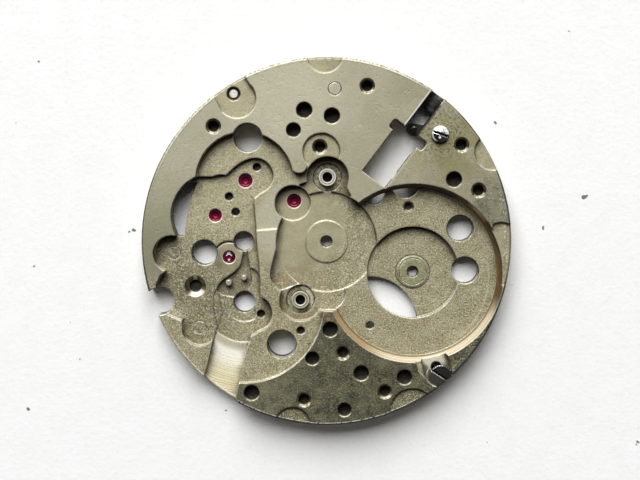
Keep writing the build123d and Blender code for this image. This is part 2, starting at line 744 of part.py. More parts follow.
def lever_tail_point(reach):
    """A point this far behind the lever's pivot, towards the centre along the stem, as a share."""
    return tuple(lever_pivot_share[i] - stem_axis_share[i] * reach / plate_radius for i in (0, 1))


def setting_lever():
    """The lever on the dial side: a hub with an arm to the pin and a tail for the spring."""
    low = lever_low()
    high = low + lever_thickness
    hub = post(lever_pivot_share, lever_hub_radius, low, high)
    arm = link(lever_pivot_share, lever_pin_share, lever_pin_arm_width, low, high)
    tail = link(lever_pivot_share, lever_tail_point(lever_tail_length), lever_tail_radius * 2, low, high)
    lever = hub + arm + tail
    eye_radius = lever_screw_shank_radius + running_clearance
    lever = lever - post(lever_pivot_share, eye_radius, low - overrun, high + overrun)
    return lever - post(lever_pin_share, lever_pin_radius, low - overrun, high + overrun)


def slotted(head, share, width_run, low, high, turn):
    """A screw head with its driving slot cut across it."""
    blade = Box(width_run * 2 + overrun, screw_slot_width, high - low + overrun,
                align=(Align.CENTER, Align.CENTER, Align.MIN))
    return head - turned(share, turn) * Pos(0, 0, low) * blade


def setting_lever_screw():
    """The screw that the lever hangs on, with its domed head on the movement side."""
    seat = plate_thickness + running_clearance
    side = seat + lever_screw_head_rise - lever_screw_crown
    top = seat + lever_screw_head_rise
    ball_radius = (lever_screw_head_radius ** 2 + lever_screw_crown ** 2) / (2 * lever_screw_crown)
    crown = spot(lever_pivot_share, top - ball_radius) * Sphere(ball_radius)
    head = post(lever_pivot_share, lever_screw_head_radius, seat, side)
    head = head + (crown & post(lever_pivot_share, lever_screw_head_radius, side, top))
    head = slotted(head, lever_pivot_share, lever_screw_head_radius, top - screw_slot_depth, top,
                   lever_screw_slot_turn)
    return head + post(lever_pivot_share, lever_screw_shank_radius, lever_low(), seat)


def setting_lever_spring():
    """The flat spring that presses its nib on the lever's tail, screwed to the dial side."""
    high = keyless_recess_depth
    low = high - spring_thickness
    reach = lever_tail_length + lever_tail_radius + spring_clearance + spring_nib_radius
    nib_share = lever_tail_point(reach)
    base = post(spring_screw_share, spring_base_radius, low, high)
    arm = link(spring_screw_share, nib_share, spring_arm_width, low, high)
    nib = post(nib_share, spring_nib_radius, low, high)
    return base + arm + nib - post(spring_screw_share, spring_screw_radius, low - overrun, high + overrun)


def setting_lever_spring_screw():
    """The screw that holds the spring, its head towards the dial."""
    seat = keyless_recess_depth - spring_thickness
    low = seat - spring_screw_head_thickness
    head = post(spring_screw_share, spring_screw_head_radius, low, seat)
    blade = Box(spring_screw_head_radius * 2 + overrun, screw_slot_width, screw_slot_depth + overrun,
                align=(Align.CENTER, Align.CENTER, Align.MAX))
    head = head - spot(spring_screw_share, low + screw_slot_depth) * blade
    high = keyless_recess_depth + spring_screw_seat
    return head + post(spring_screw_share, spring_screw_radius, seat, high)


def dog_screw():
    """The case screw: the flat on its head faces the rim while the movement is free to leave its case."""
    seat = floor_at(dog_pocket_depth) + running_clearance
    top = seat + dog_head_thickness
    head = post(dog_screw_share, dog_head_radius, seat, top)
    head = chamfer(head.edges().filter_by(GeomType.CIRCLE).sort_by(Axis.Z)[-1], screw_bevel)
    outward = degrees(atan2(dog_screw_share[1], dog_screw_share[0]))
    trim = Box(dog_head_radius, dog_head_radius * 2 + overrun, dog_head_thickness + overrun,
               align=(Align.MIN, Align.CENTER, Align.CENTER))
    head = head - turned(dog_screw_share, outward) * Pos(dog_flat_distance, 0, (seat + top) / 2) * trim
    head = slotted(head, dog_screw_share, dog_head_radius, top - screw_slot_depth, top, dog_slot_turn)
    return head + post(dog_screw_share, dog_shank_radius, seat - dog_shank_length, seat)


def write(name, shape):
    """Keep one piece as its own file."""
    export_step(shape, f"parts/{name}.step")


os.makedirs("parts", exist_ok=True)

write("main_plate", main_plate())

low_height = floor_at(low_floor_depth)
write("third_wheel_jewel", jewel(third_share, train_jewel_radius, floor_at(third_floor_depth)))
write("fourth_wheel_jewel", jewel(fourth_share, train_jewel_radius, low_height))
write("escape_wheel_jewel", jewel(escape_share, escape_jewel_radius, low_height))
write("pallet_fork_jewel", jewel(pallet_share, pallet_jewel_radius, low_height, pallet_jewel_dome))

fork_height = floor_at(fork_pocket_depth)
pin_low = fork_height - banking_pin_seat
pin_high = fork_height + banking_pin_rise
write("banking_pin_1", pin(banking_pin_1_share, banking_pin_1_radius, pin_low, pin_high))
write("banking_pin_2", pin(banking_pin_2_share, banking_pin_2_radius, pin_low, pin_high))

write("train_bridge_tube_upper", bridge_tube(upper_tube_share))
write("train_bridge_tube_lower", bridge_tube(lower_tube_share))
write("barrel_arbor_bush", arbor_bush())

post_tops = [low_height, low_height, plate_thickness]
for number, (share, height) in enumerate(zip(dial_post_shares, post_tops), start=1):
    write(f"dial_side_post_{number}", post(share, dial_post_radius, dial_post_end_height, height))
write("dial_side_post_4", post(rim_post_share, rim_post_radius, dial_post_end_height,
                               floor_at(casing_recess_depth) - rim_post_drop))
write("minute_wheel_post", post(minute_post_share, minute_post_radius, post_end_height,
                                motion_recess_depth + minute_post_seat))
write("yoke_post", post(yoke_post_share, yoke_post_radius, post_end_height,
                        keyless_recess_depth + yoke_post_seat))

write("setting_lever", setting_lever())
write("setting_lever_pin", pin(lever_pin_share, lever_pin_radius, lever_low(), lever_pin_top_height))
write("setting_lever_screw", setting_lever_screw())
write("setting_lever_spring", setting_lever_spring())
write("setting_lever_spring_screw", setting_lever_spring_screw())
write("dog_screw", dog_screw())
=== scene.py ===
"""Looks of a watch movement's bare main plate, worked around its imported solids.

Lengths are written in millimetres and turned to metres where they reach Blender. The frame is that of
the solids: the plate's centre is the origin, its dial side rests at zero height, and +Z runs out of the
movement side. Places on the plate are shares of its radius, as in the source of the solids.
"""

from math import cos, pi, radians, sin

import bmesh
import bpy
import numpy as np
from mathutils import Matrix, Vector


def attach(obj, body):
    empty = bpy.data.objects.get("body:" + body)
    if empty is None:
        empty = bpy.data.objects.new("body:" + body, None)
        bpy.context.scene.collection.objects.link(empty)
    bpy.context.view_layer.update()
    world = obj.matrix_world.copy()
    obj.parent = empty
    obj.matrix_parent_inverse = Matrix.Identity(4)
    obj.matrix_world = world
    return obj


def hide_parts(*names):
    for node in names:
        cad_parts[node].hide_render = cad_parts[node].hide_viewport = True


MM = 0.001
PLATE_RADIUS = 12.95

# Camera, light and paper
LENS = 80.0
SENSOR = 36.0
AIM = (-0.455, 0.147, 1.6)
CAMERA_DISTANCE = 100.1
CAMERA_LEAN = 0.078
NEAREST_SEEN = 1.0
KEY_DISTANCE = 900.0
KEY_ELEVATION = 45.0
KEY_AZIMUTH = 100.0
KEY_WIDTH = 700.0
KEY_HEIGHT = 740.0
KEY_POWER = 12.6
LIT_SIDE = (-0.20, 0.98, 0.0)
WALL_TO_SKY = (0.10, 0.50)
SKY_LEVEL = 0.05
FAR_TO_NEAR_WALL = (-0.7, 0.5)
FAR_WALL_LEVEL = 0.45
PAPER_SIZE = 3000.0
PAPER_DROP = 0.02

# Places, as shares of the plate's radius, and directions on it
CENTRE = (0.0, 0.0)
BALANCE = (-0.449, -0.332)
BARREL = (0.473, -0.168)
THIRD = (-0.177, 0.222)
FOURTH = (-0.441, 0.334)
ESCAPE = (-0.606, 0.144)
PALLET = (-0.532, -0.084)
UPPER_TUBE = (0.005, 0.352)
LOWER_TUBE = (-0.1427, -0.3173)
DIAL_POSTS = [(-0.832, -0.062), (-0.6935, -0.471), (0.044, 0.828)]
LEVER_SCREW = (0.610, 0.586)
DOG_SCREW = (0.6235, -0.729)
DOG_POCKET = (0.575, -0.665)
RIM_POST = (-0.500, 0.802)
CASE_SCREW_BORE = (0.600, -0.684)
COCK_SCREW = (-0.718, -0.245)
COCK_SHELF = (-0.74, -0.28)
PLATEAU = (-0.16, 0.10)
STEM_AXIS = (0.602, 0.799)
STEM_RIGHT = (0.799, -0.602)
LOWER_LEFT = (-0.64, -0.77)
CHANNEL_ACROSS = (0.96, -0.28)

# The channel's two sides, each a line through two places
CHANNEL_LEFT = ((-0.671, -0.731), (-0.568, -0.387))
CHANNEL_RIGHT = ((-0.482, -0.872), (-0.413, -0.517))

# Where the metal looks different: places again
LIGHTER_PATCH = (-0.22, 0.76)
PALE_PATCH = (-0.38, -0.80)
WORN_RIM = (0.93, 0.19)
OILY_CORNER = (0.66, 0.52)
SMOOTH_BAY = (-0.16, 0.08)
# a painted glint on the barrel's wall
WALL_GLINT = (0.86, 0.21)
RUST_PATCHES = [((0.02, -0.40), 1.3, (168, 126, 74), (0.50, 0.64), 0.7),
                ((0.66, 0.21), 0.9, (140, 104, 66), (0.52, 0.62), 0.8)]
RUST_SPOTS = [((-0.262, -0.226), 0.34, 0.8), ((-0.225, -0.196), 0.22, 0.6), ((-0.142, -0.243), 0.24, 0.95),
              ((0.079, -0.404), 0.20, 0.8), ((-0.172, 0.056), 0.18, 0.4)]
WIDE_ARC = ((0.478, -0.195), 5.30, 0.10)
SMALL_ARC = ((0.507, -0.225), 1.72, 0.06)

# Rings on the plate: place, radius and, where it isn't the line's width, how far each fades
RIM_EDGE = (CENTRE, 12.80, 0.055)
RIM_SCORE = (CENTRE, 12.70, 0.04)
RIM_BRUISES = (CENTRE, 12.60, 0.30)
JEWEL_SEATS = [(THIRD, 0.535), (FOURTH, 0.535), (ESCAPE, 0.490), (PALLET, 0.490)]
SEAMS = [(BARREL, 0.96), (BARREL, 1.22), *((post, 0.455) for post in DIAL_POSTS),
         (LOWER_TUBE, 0.98), (UPPER_TUBE, 0.98)]
LINE_WIDTH = 0.05

# Pairs of heights: a mask is 0 at the first and 1 at the second
ON_LAND = (2.10, 2.16)
ON_OUTLINES = (2.00, 2.08)
ON_RIM = (1.90, 2.05)
ON_SCALLOPS = (1.95, 1.98)
UNDER_SCALLOPS = (1.95, 1.85)
ON_BALANCE_FLOOR = (1.78, 1.84)
ON_DOG_POCKET = (1.60, 1.64)
UNDER_DOG_EDGE = (1.74, 1.70)
UNDER_CHANNEL_RIM = (1.60, 1.57)
ON_PLATEAU = (1.22, 1.30)
UNDER_SHELF = (1.30, 1.20)
UNDER_BARREL_EDGE = (1.30, 1.22)
UNDER_BARREL_FLOOR = (1.20, 1.10)
UNDER_TUBE_FLOOR = (0.82, 0.78)
UNDER_STEM_EDGE = (2.17, 2.12)
ON_STEM_EDGE = (2.10, 2.15)
DEEP_WALL_PAINTED_SHADE = (1.05, 0.65)

# Blind holes: place, radius, and the height below which each is painted dark for the shade inside it
BLIND_HOLES = [
    (-0.120, 0.715, 0.53, 2.05), (0.029, 0.684, 0.53, 2.05), (0.687, 0.342, 0.53, 2.05),
    (0.020, -0.4725, 0.53, 2.05), (0.189, -0.712, 0.53, 2.05), (-0.408, -0.820, 0.53, 2.05),
    (0.425, -0.7345, 0.53, 2.05), (-0.178, 0.608, 0.48, 2.05), (-0.077, -0.631, 0.48, 2.05),
    (0.098, -0.9135, 0.48, 2.05), (-0.608, 0.628, 0.385, 2.00), (0.218, 0.844, 0.385, 2.00),
    (0.726, 0.528, 0.385, 2.00), (0.820, 0.284, 0.385, 2.00), (0.089, -0.600, 0.385, 2.00),
    (-0.123, -0.858, 0.385, 2.00), (0.318, -0.8135, 0.385, 2.00), (-0.036, 0.518, 0.385, 1.82),
    (-0.378, 0.406, 0.26, 1.06), (-0.530, 0.246, 0.26, 1.06), (-0.359, -0.399, 0.26, 0.86),
    (-0.1405, -0.483, 0.26, 1.68), (0.447, 0.192, 0.26, 1.04), (0.238, -0.460, 0.26, 1.10),
    (*COCK_SCREW, 0.44, 0.80),
]

# Jewels: node, place, radius, height of the floor each is pressed into, and how far its top is domed
JEWELS = [("third_wheel_jewel", THIRD, 0.49, 0.78, 0.0), ("fourth_wheel_jewel", FOURTH, 0.49, 1.16, 0.0),
          ("escape_wheel_jewel", ESCAPE, 0.45, 1.16, 0.0), ("pallet_fork_jewel", PALLET, 0.44, 1.16, 0.20)]
JEWEL_THICKNESS = 0.42
JEWEL_SINK = 0.04
JEWEL_RIM = 0.05
JEWEL_FOOT = 0.03
PIVOT_RADIUS = 0.06
OIL_SINK_RADIUS = 0.26
OIL_SINK_DEPTH = 0.10
BOWL_RADIUS = 0.22
BOWL_CURVE = 1.07

# Pins, tubes and screws
BANKING_PINS = [((-0.5335, -0.2238), 0.21), ((-0.4497, -0.1968), 0.19)]
PIN_LOW, PIN_HIGH, PIN_BEVEL = 0.40, 1.42, 0.04
TUBE_LOW, TUBE_HIGH, TUBE_FLOOR = 0.35, 1.47, 0.12
TUBE_RADIUS, TUBE_BORE, TUBE_LIP = 0.62, 0.35, 0.07
LEVER_SCREW_TURN = -20.0
LEVER_SCREW_COLLAR = 0.47
DOG_SCREW_TURN = -33.0
SLOT_WIDTH = 0.15

# Meshes: points round a turned piece, and the radius that stands for its axis
TURN_STEPS = 72
ON_AXIS = 1e-6
# Metres within which two points are one, and degrees from which an edge is sharp
SAME_POINT = 1e-7
SAME_TURNED_POINT = 1e-8
SHARP_TURNED_EDGE = 35
SHARP_PLATE_EDGE = 22
SHARP_STEEL_EDGE = 30


def tone(red, green, blue):
    """A colour written as 0 to 255 per channel on screen, as the linear values that a shader takes."""
    screen = np.array([red, green, blue]) / 255
    linear = np.where(screen <= 0.04045, screen / 12.92, ((screen + 0.055) / 1.055) ** 2.4)
    return (*linear.tolist(), 1.0)


class Finish:
    """A material and the nodes that make it, with all patterns in millimetres on Object coordinates."""

    def __init__(self, name):
        self.material = bpy.data.materials.new(name)
        self.material.use_nodes = True
        self.tree = self.material.node_tree
        self.tree.nodes.clear()
        self.shader = self.node("ShaderNodeBsdfPrincipled")
        output = self.node("ShaderNodeOutputMaterial")
        self.tree.links.new(self.shader.outputs[0], output.inputs["Surface"])
        coordinates = self.node("ShaderNodeTexCoord").outputs["Object"]
        self.place = self.vector("SCALE", coordinates, scale=1 / MM)
        apart = self.node("ShaderNodeSeparateXYZ", {0: self.place})
        self.x, self.y, self.height = apart.outputs
        self.flat = self.node("ShaderNodeCombineXYZ", {0: self.x, 1: self.y}).outputs[0]
        self.facing = self.node("ShaderNodeNewGeometry").outputs["Normal"]
        self.up = self.node("ShaderNodeSeparateXYZ", {0: self.facing}).outputs[2]

    def node(self, kind, inputs=None, **settings):
        """One node, its settings, and its inputs linked or set."""
        made = self.tree.nodes.new(kind)
        for name, value in settings.items():
            setattr(made, name, value)
        for key, value in (inputs or {}).items():
            if isinstance(value, bpy.types.NodeSocket):
                self.tree.links.new(value, made.inputs[key])
            else:
                made.inputs[key].default_value = value
        return made

    def set(self, **inputs):
        """The shader's sockets, by name, linked or set."""
        for name, value in inputs.items():
            socket = self.shader.inputs[name.replace("_", " ")]
            if isinstance(value, bpy.types.NodeSocket):
                self.tree.links.new(value, socket)
            else:
                socket.default_value = value
        return self.material

    def maths(self, operation, *values):
        """One step of arithmetic."""
        return self.node("ShaderNodeMath", dict(enumerate(values)), operation=operation).outputs[0]

    def vector(self, operation, first, second=(0, 0, 0), scale=1.0):
        """One step of arithmetic on vectors: a vector, or a number where the operation measures one."""
        inputs = {0: first, 3: scale} if operation == "SCALE" else {0: first, 1: second}
        made = self.node("ShaderNodeVectorMath", inputs, operation=operation)
        return made.outputs["Value" if operation in ("DISTANCE", "LENGTH", "DOT_PRODUCT") else "Vector"]

    def moved(self, right, up):
        """The coordinates moved aside, so that a noise on them differs from one in the usual place."""
        return self.vector("ADD", self.place, (right, up, 0.0))

    def stretched(self, times):
        """The coordinates stretched, so that a noise on them becomes scratches along X."""
        return self.node("ShaderNodeMapping", {0: self.place, "Scale": (1, times, 1)}).outputs[0]

    def along(self, direction):
        """How far the surface lies from the centre in a level direction."""
        return self.vector("DOT_PRODUCT", self.flat, (*direction, 0))

    def gap(self, value, middle):
        """How far a value is from another, either way."""
        return self.maths("ABSOLUTE", self.maths("SUBTRACT", value, middle))

    def noise(self, size, detail=3.0, roughness=0.55, place=None):
        """Soft noise, 0 to 1, whose blotches are about this many millimetres across."""
        inputs = {"Vector": place or self.place, "Scale": 1 / size, "Detail": detail, "Roughness": roughness}
        return self.node("ShaderNodeTexNoise", inputs).outputs["Fac"]

    def step(self, value, low, high, start=0.0, end=1.0):
        """A smooth rise from start to end as the value goes from low to high."""
        inputs = {"Value": value, "From Min": low, "From Max": high, "To Min": start, "To Max": end}
        how = {"interpolation_type": "SMOOTHSTEP", "clamp": False}
        return self.node("ShaderNodeMapRange", inputs, **how).outputs["Result"]

    def at(self, heights):
        """1 past the second of two heights, 0 before the first."""
        return self.step(self.height, *heights)

    def between(self, share, none, full):
        """The same share of the way from one strength to another."""
        return self.step(share, 0.0, 1.0, none, full)

    def mixed(self, share, low, high):
        """One colour where the share is 0, the other where it is 1."""
        made = self.node("ShaderNodeMix", {"Factor": share, 6: low, 7: high}, data_type="RGBA")
        return made.outputs[2]

    def distance(self, share):
        """How far the surface is, seen from above, from a place on the plate."""
        centre = (share[0] * PLATE_RADIUS, share[1] * PLATE_RADIUS, 0)
        return self.vector("DISTANCE", self.flat, centre)

    def near(self, share, full, none):
        """1 within the first radius of a place, falling to 0 at the second."""
        return self.step(self.distance(share), full, none, 1.0, 0.0)

    def beside(self, first, second, width):
        """1 to the left of the line from the first place to the second, 0 to its right."""
        run = np.subtract(second, first)
        left = np.array([-run[1], run[0]]) / np.hypot(*run)
        off = self.vector("DOT_PRODUCT", self.flat, (left[0], left[1], 0))
        line = float(np.dot(left, first)) * PLATE_RADIUS
        return self.step(off, line - width, line + width)

    def shelter(self, reach, toward):
        """0 in the open, rising where something stands within reach on the side looked towards."""
        look = self.node("ShaderNodeCombineXYZ", dict(enumerate(toward))).outputs[0]
        inputs = {"Distance": reach * MM, "Normal": look}
        opening = self.node("ShaderNodeAmbientOcclusion", inputs, samples=8).outputs["AO"]
        return self.maths("SUBTRACT", 1.0, opening)

    def tint(self, colour, over, *shares):
        """The colour with another laid over it, by the product of these shares."""
        return self.mixed(self.product(*shares), colour, over)

    def ring(self, share, radius, width):
        """1 on a circle about a place, falling to 0 within this width on either side."""
        return self.step(self.gap(self.distance(share), radius), 0.0, width, 1.0, 0.0)

    def greatest(self, values):
        """The greatest of these values, each compared as soon as it is made, so that few are held at once."""
        values = iter(values)
        total = next(values)
        for value in values:
            total = self.maths("MAXIMUM", total, value)
        return total

    def product(self, *values):
        """All these values multiplied."""
        total = values[0]
        for value in values[1:]:
            total = self.maths("MULTIPLY", total, value)
        return total

    def lit(self, normal):
        """How far a normal leans towards the window, from -1 to 1."""
        return self.vector("DOT_PRODUCT", normal, LIT_SIDE)

    def edges(self, width, wander=0.0):
        """1 on an edge, 0 on open surface; how far that edge leans to the window; and a rounded normal.
        The edge is at most this wide, and the more it wanders, the thinner it is in places."""
        soft = self.node("ShaderNodeBevel", {"Radius": width * MM}, samples=8).outputs[0]
        turn = self.vector("DOT_PRODUCT", soft, self.facing)
        if wander:
            turn = self.maths("ADD", turn, self.step(self.noise(0.26, 4.0, 0.75), 0.38, 0.62, wander, 0.0))
        near = self.step(turn, 0.955, 0.992, 1.0, 0.0)
        return near, self.lit(soft), soft

    def streak(self, size, along):
        """Noise in lines: it changes only along one length, in steps about this many millimetres wide."""
        inputs = {"W": along, "Scale": 1 / size, "Detail": 2.0, "Roughness": 0.5}
        return self.node("ShaderNodeTexNoise", inputs, noise_dimensions="1D").outputs["Fac"]

    def bump(self, height, depth, normal=None):
        """A bumped normal: the height map's full range is this deep, in millimetres."""
        inputs = {"Height": height, "Distance": depth * MM, "Strength": 1.0}
        if normal is not None:
            inputs["Normal"] = normal
        return self.node("ShaderNodeBump", inputs).outputs[0]


def land_tones(f, land, cloud, mottle):
    """Nickel as it is on each level: lighter at the upper left, darker to the right, dark and mottled below.
    """
    patch = f.step(f.noise(2.2, 4.0), 0.30, 0.68)
    clean = f.mixed(cloud, tone(182, 178, 154), tone(172, 168, 142))
    clean = f.tint(clean, tone(198, 194, 169), f.near(LIGHTER_PATCH, 1.5, 5.0), 0.8)
    colour = f.tint(clean, tone(140, 134, 108), f.step(f.x, 1.0, 11.5), f.between(patch, 0.30, 0.85))
    worn = f.near(WORN_RIM, 0.8, 3.0)
    dents = f.step(f.noise(0.30, 4.0, 0.75), 0.46, 0.60)
    dented = f.mixed(dents, tone(122, 120, 100), tone(84, 84, 70))
    colour = f.tint(colour, dented, worn, f.between(mottle, 0.5, 1.0))
    chips = f.step(f.noise(0.20, 3.0, 0.6, f.moved(4.0, 2.0)), 0.62, 0.68)
    colour = f.tint(colour, tone(220, 216, 200), chips, worn, 0.8)
    colour = f.tint(colour, tone(132, 130, 106), f.step(f.x, -7.0, -11.5), f.step(f.y, 6.0, -1.0), 0.8)
    plateau = f.product(f.near(PLATEAU, 2.4, 3.6), f.step(f.x, -0.2, -1.2), f.at(ON_PLATEAU))
    sandy = f.mixed(mottle, tone(176, 169, 139), tone(158, 151, 120))
    sandy = f.tint(sandy, tone(188, 180, 147), f.step(f.x, 2.0, -3.0), f.step(f.y, -3.0, 1.0), 0.7)
    browned = f.step(f.noise(1.3, 4.0, 0.7), 0.54, 0.70)
    sandy = f.tint(sandy, tone(140, 118, 76), browned, f.step(f.y, 1.0, -3.0), 0.45)
    sandy = f.tint(sandy, tone(190, 186, 162), plateau)
    colour = f.mixed(land, sandy, colour)
    shelf = f.product(f.near(COCK_SHELF, 2.6, 5.0), f.at(UNDER_SHELF))
    colour = f.tint(colour, f.mixed(mottle, tone(150, 144, 116), tone(122, 116, 90)), shelf)
    scallops = f.product(f.step(f.distance(CENTRE), 11.0, 11.4), f.step(f.y, -6.0, -7.5), f.at(ON_SCALLOPS))
    olive = f.mixed(f.step(f.noise(0.5, 4.0), 0.4, 0.6), tone(134, 127, 97), tone(102, 97, 74))
    colour = f.tint(colour, olive, scallops)
    below = f.product(land, f.step(f.distance(BALANCE), 5.60, 5.70), f.step(f.y, -3.6, -4.6))
    dark = f.mixed(f.step(f.noise(1.1, 5.0, 0.62), 0.34, 0.68), tone(52, 51, 39), tone(86, 85, 66))
    pale = f.tint(dark, tone(112, 110, 88), f.near(PALE_PATCH, 1.0, 4.5), f.step(mottle, 0.2, 0.8, 0.4, 1.0))
    return f.mixed(below, colour, pale)


def sand(f, colour, land, lane):
    """Dark and light specks in the surface, many on the sandy floors and few on the smooth ones."""
    smooth = f.greatest([
        f.product(land, f.step(f.y, -3.0, -2.0), f.near(OILY_CORNER, 4.4, 2.4)),
        f.product(f.near(SMOOTH_BAY, 2.6, 4.2), f.step(f.x, 1.9, 1.2)),
        f.near(PALLET, 1.0, 1.3),
        f.product(f.at(ON_BALANCE_FLOOR), f.step(f.y, -3.0, -2.0), 0.75),
        f.product(f.step(f.x, 2.0, -5.0), f.step(f.y, -3.0, 4.0), 0.40),
        lane,
    ])
    fine = f.step(f.noise(0.12, 3.0, 0.7), 0.52, 0.60)
    grit = f.step(f.noise(0.24, 3.0, 0.7, f.moved(1.0, 9.0)), 0.60, 0.68)
    coarse = f.step(f.noise(0.50, 5.0, 0.72), 0.56, 0.70)
    light = f.step(f.noise(0.10, 2.0, 0.6, f.moved(7.0, 3.0)), 0.53, 0.62)
    green = f.step(f.noise(0.8, 5.0, 0.75, f.moved(2.0, 6.0)), 0.46, 0.62)
    brown = f.step(f.noise(1.0, 5.0, 0.75, f.moved(5.0, 1.0)), 0.50, 0.64)
    colour = f.tint(colour, tone(138, 140, 100), green, f.between(smooth, 0.42, 0.08))
    weaker_below = f.between(f.maths("MINIMUM", f.step(f.y, -3.5, -5.0), land), 1.0, 0.30)
    colour = f.tint(colour, tone(150, 128, 88), brown, f.between(smooth, 0.36, 0.06), weaker_below)
    colour = f.tint(colour, tone(96, 88, 60), fine, f.between(smooth, 0.66, 0.12))
    colour = f.tint(colour, tone(58, 51, 30), grit, f.between(smooth, 0.78, 0.12))
    colour = f.tint(colour, tone(100, 92, 62), coarse, f.between(smooth, 0.36, 0.06))
    colour = f.tint(colour, tone(222, 216, 188), light, f.between(smooth, 0.64, 0.12), weaker_below)
    return colour, smooth, coarse


def channel_painted_reflection(f):
    """The turned slope to the rim: its turned streaks, with the window's reflection painted on, nearly white
    where it starts and golden farther out.
    """
    out = f.distance(BALANCE)
    lane = f.product(
        f.beside(*CHANNEL_LEFT, -0.03), f.beside(*CHANNEL_RIGHT, 0.03),
        f.at(UNDER_CHANNEL_RIM), f.step(out, 2.88, 2.93), f.step(f.y, -5.0, -5.6))
    streak = f.streak(0.06, f.maths("MULTIPLY_ADD", f.noise(1.6), 0.06, out))
    lines = f.step(streak, 0.42, 0.58)
    faint = f.product(lines, f.step(out, 3.6, 4.8, 0.35, 1.0))
    # painted reflection of the window on the slope: near white close in, golden farther out
    white = f.mixed(faint, tone(255, 253, 240), tone(222, 213, 176))
    gold = f.mixed(lines, tone(252, 244, 208), tone(198, 186, 144))
    painted_highlight = f.mixed(f.step(out, 3.2, 3.7), tone(190, 185, 160), white)
    painted_highlight = f.mixed(f.step(out, 4.4, 5.4), painted_highlight, gold)
    painted_highlight = f.tint(painted_highlight, tone(168, 160, 124), f.step(f.along(CHANNEL_ACROSS), -5.9, -6.8), 0.7)
    return painted_highlight, lane


def dog_pocket_tones(f, colour):
    """The case screw's pocket: pale, but dull at its lower left, with a painted highlight ring about the
    screw for an edge that faces the window, and painted shade just inside it.
    """
    pocket = f.product(f.near(DOG_POCKET, 0.7, 1.3), f.at(ON_DOG_POCKET), f.at(UNDER_DOG_EDGE))
    colour = f.tint(colour, tone(226, 220, 198), pocket, 0.9)
    out = f.distance(DOG_SCREW)
    low_left = f.product(f.at(ON_DOG_POCKET), f.at(UNDER_DOG_EDGE),
                         f.step(f.along(LOWER_LEFT), 2.05, 2.35))
    colour = f.tint(colour, tone(112, 108, 84), low_left, f.step(out, 0.92, 0.98))
    # painted shade inside the ring, on the pocket's lower left
    colour = f.tint(colour, tone(74, 69, 50), low_left, f.step(out, 0.98, 0.92), 0.85)
    # painted highlight: a ring standing for an edge lit by the window
    return f.tint(colour, tone(252, 249, 236), low_left, f.ring(DOG_SCREW, 0.96, 0.06))


def stains(f, colour, land):
    """Warm rust about the lower tube, oil about the lever's screw, and turned arcs on the barrel's floor."""
    rough = f.noise(0.30, 4.0, 0.65)
    about_tube = f.product(f.near(LOWER_TUBE, 1.2, 3.0), f.step(rough, 0.44, 0.62), f.at(UNDER_SCALLOPS))
    colour = f.tint(colour, tone(150, 128, 82), about_tube, 0.55)
    for place, reach, strength in RUST_SPOTS:
        spot = (f.near(place, 0.02, reach), f.step(rough, 0.42, 0.54))
        colour = f.tint(colour, tone(184, 110, 52), *spot, strength)
    for place, reach, rust, bounds, strength in RUST_PATCHES:
        colour = f.tint(colour, tone(*rust), f.near(place, 0.2, reach), f.step(rough, *bounds), strength)
    oil = f.product(f.near(LEVER_SCREW, 1.0, 2.6), f.step(f.noise(0.20, 4.0, 0.75), 0.47, 0.60), land)
    haze = f.product(f.near(OILY_CORNER, 1.6, 4.0), f.step(f.noise(0.9, 3.0), 0.35, 0.65), land)
    colour = f.tint(colour, tone(140, 132, 78), haze, 0.55)
    colour = f.tint(colour, tone(88, 84, 38), oil, 0.85)
    arcs = [f.product(f.ring(*WIDE_ARC), f.step(f.x, 8.0, 10.5), f.step(f.y, -0.8, -2.6), 0.7),
            f.product(f.ring(*SMALL_ARC), f.step(f.y, -3.6, -4.2))]
    pale = f.product(f.greatest(arcs), f.at(UNDER_BARREL_EDGE))
    colour = f.tint(colour, tone(132, 138, 96), f.near(BARREL, 1.0, 1.3), f.at(UNDER_BARREL_FLOOR), 0.5)
    return f.tint(colour, tone(226, 219, 192), pale, 0.5)


def cone_tones(f, colour, lit):
    """The holes' countersinks: painted shade away from the window, painted light towards it."""
    slope = f.product(f.step(f.up, 0.30, 0.42), f.step(f.up, 0.94, 0.88))
    # painted shade for the countersink's side away from the window
    cone = f.mixed(f.step(f.noise(0.25, 3.0), 0.4, 0.6), tone(52, 46, 30), tone(100, 92, 66))
    # painted light for the side that faces the window, brighter still in the cock screw's hole
    worn = f.mixed(f.step(f.noise(0.18, 3.0), 0.42, 0.58), tone(228, 222, 200), tone(146, 139, 110))
    worn = f.tint(worn, tone(255, 252, 240), f.near(COCK_SCREW, 0.9, 1.0), 0.8)
    worn = f.tint(worn, tone(120, 114, 84), f.near(RIM_POST, 0.5, 0.6))
    cone = f.mixed(f.step(lit, 0.34, 0.60), cone, worn)
    notch = f.product(f.step(f.gap(f.x, -9.30), 0.16, 0.10), f.step(f.y, -2.90, -2.82),
                      f.near(COCK_SCREW, 0.9, 1.0))
    cone = f.tint(cone, tone(186, 180, 156), notch)
    return f.tint(colour, cone, slope)


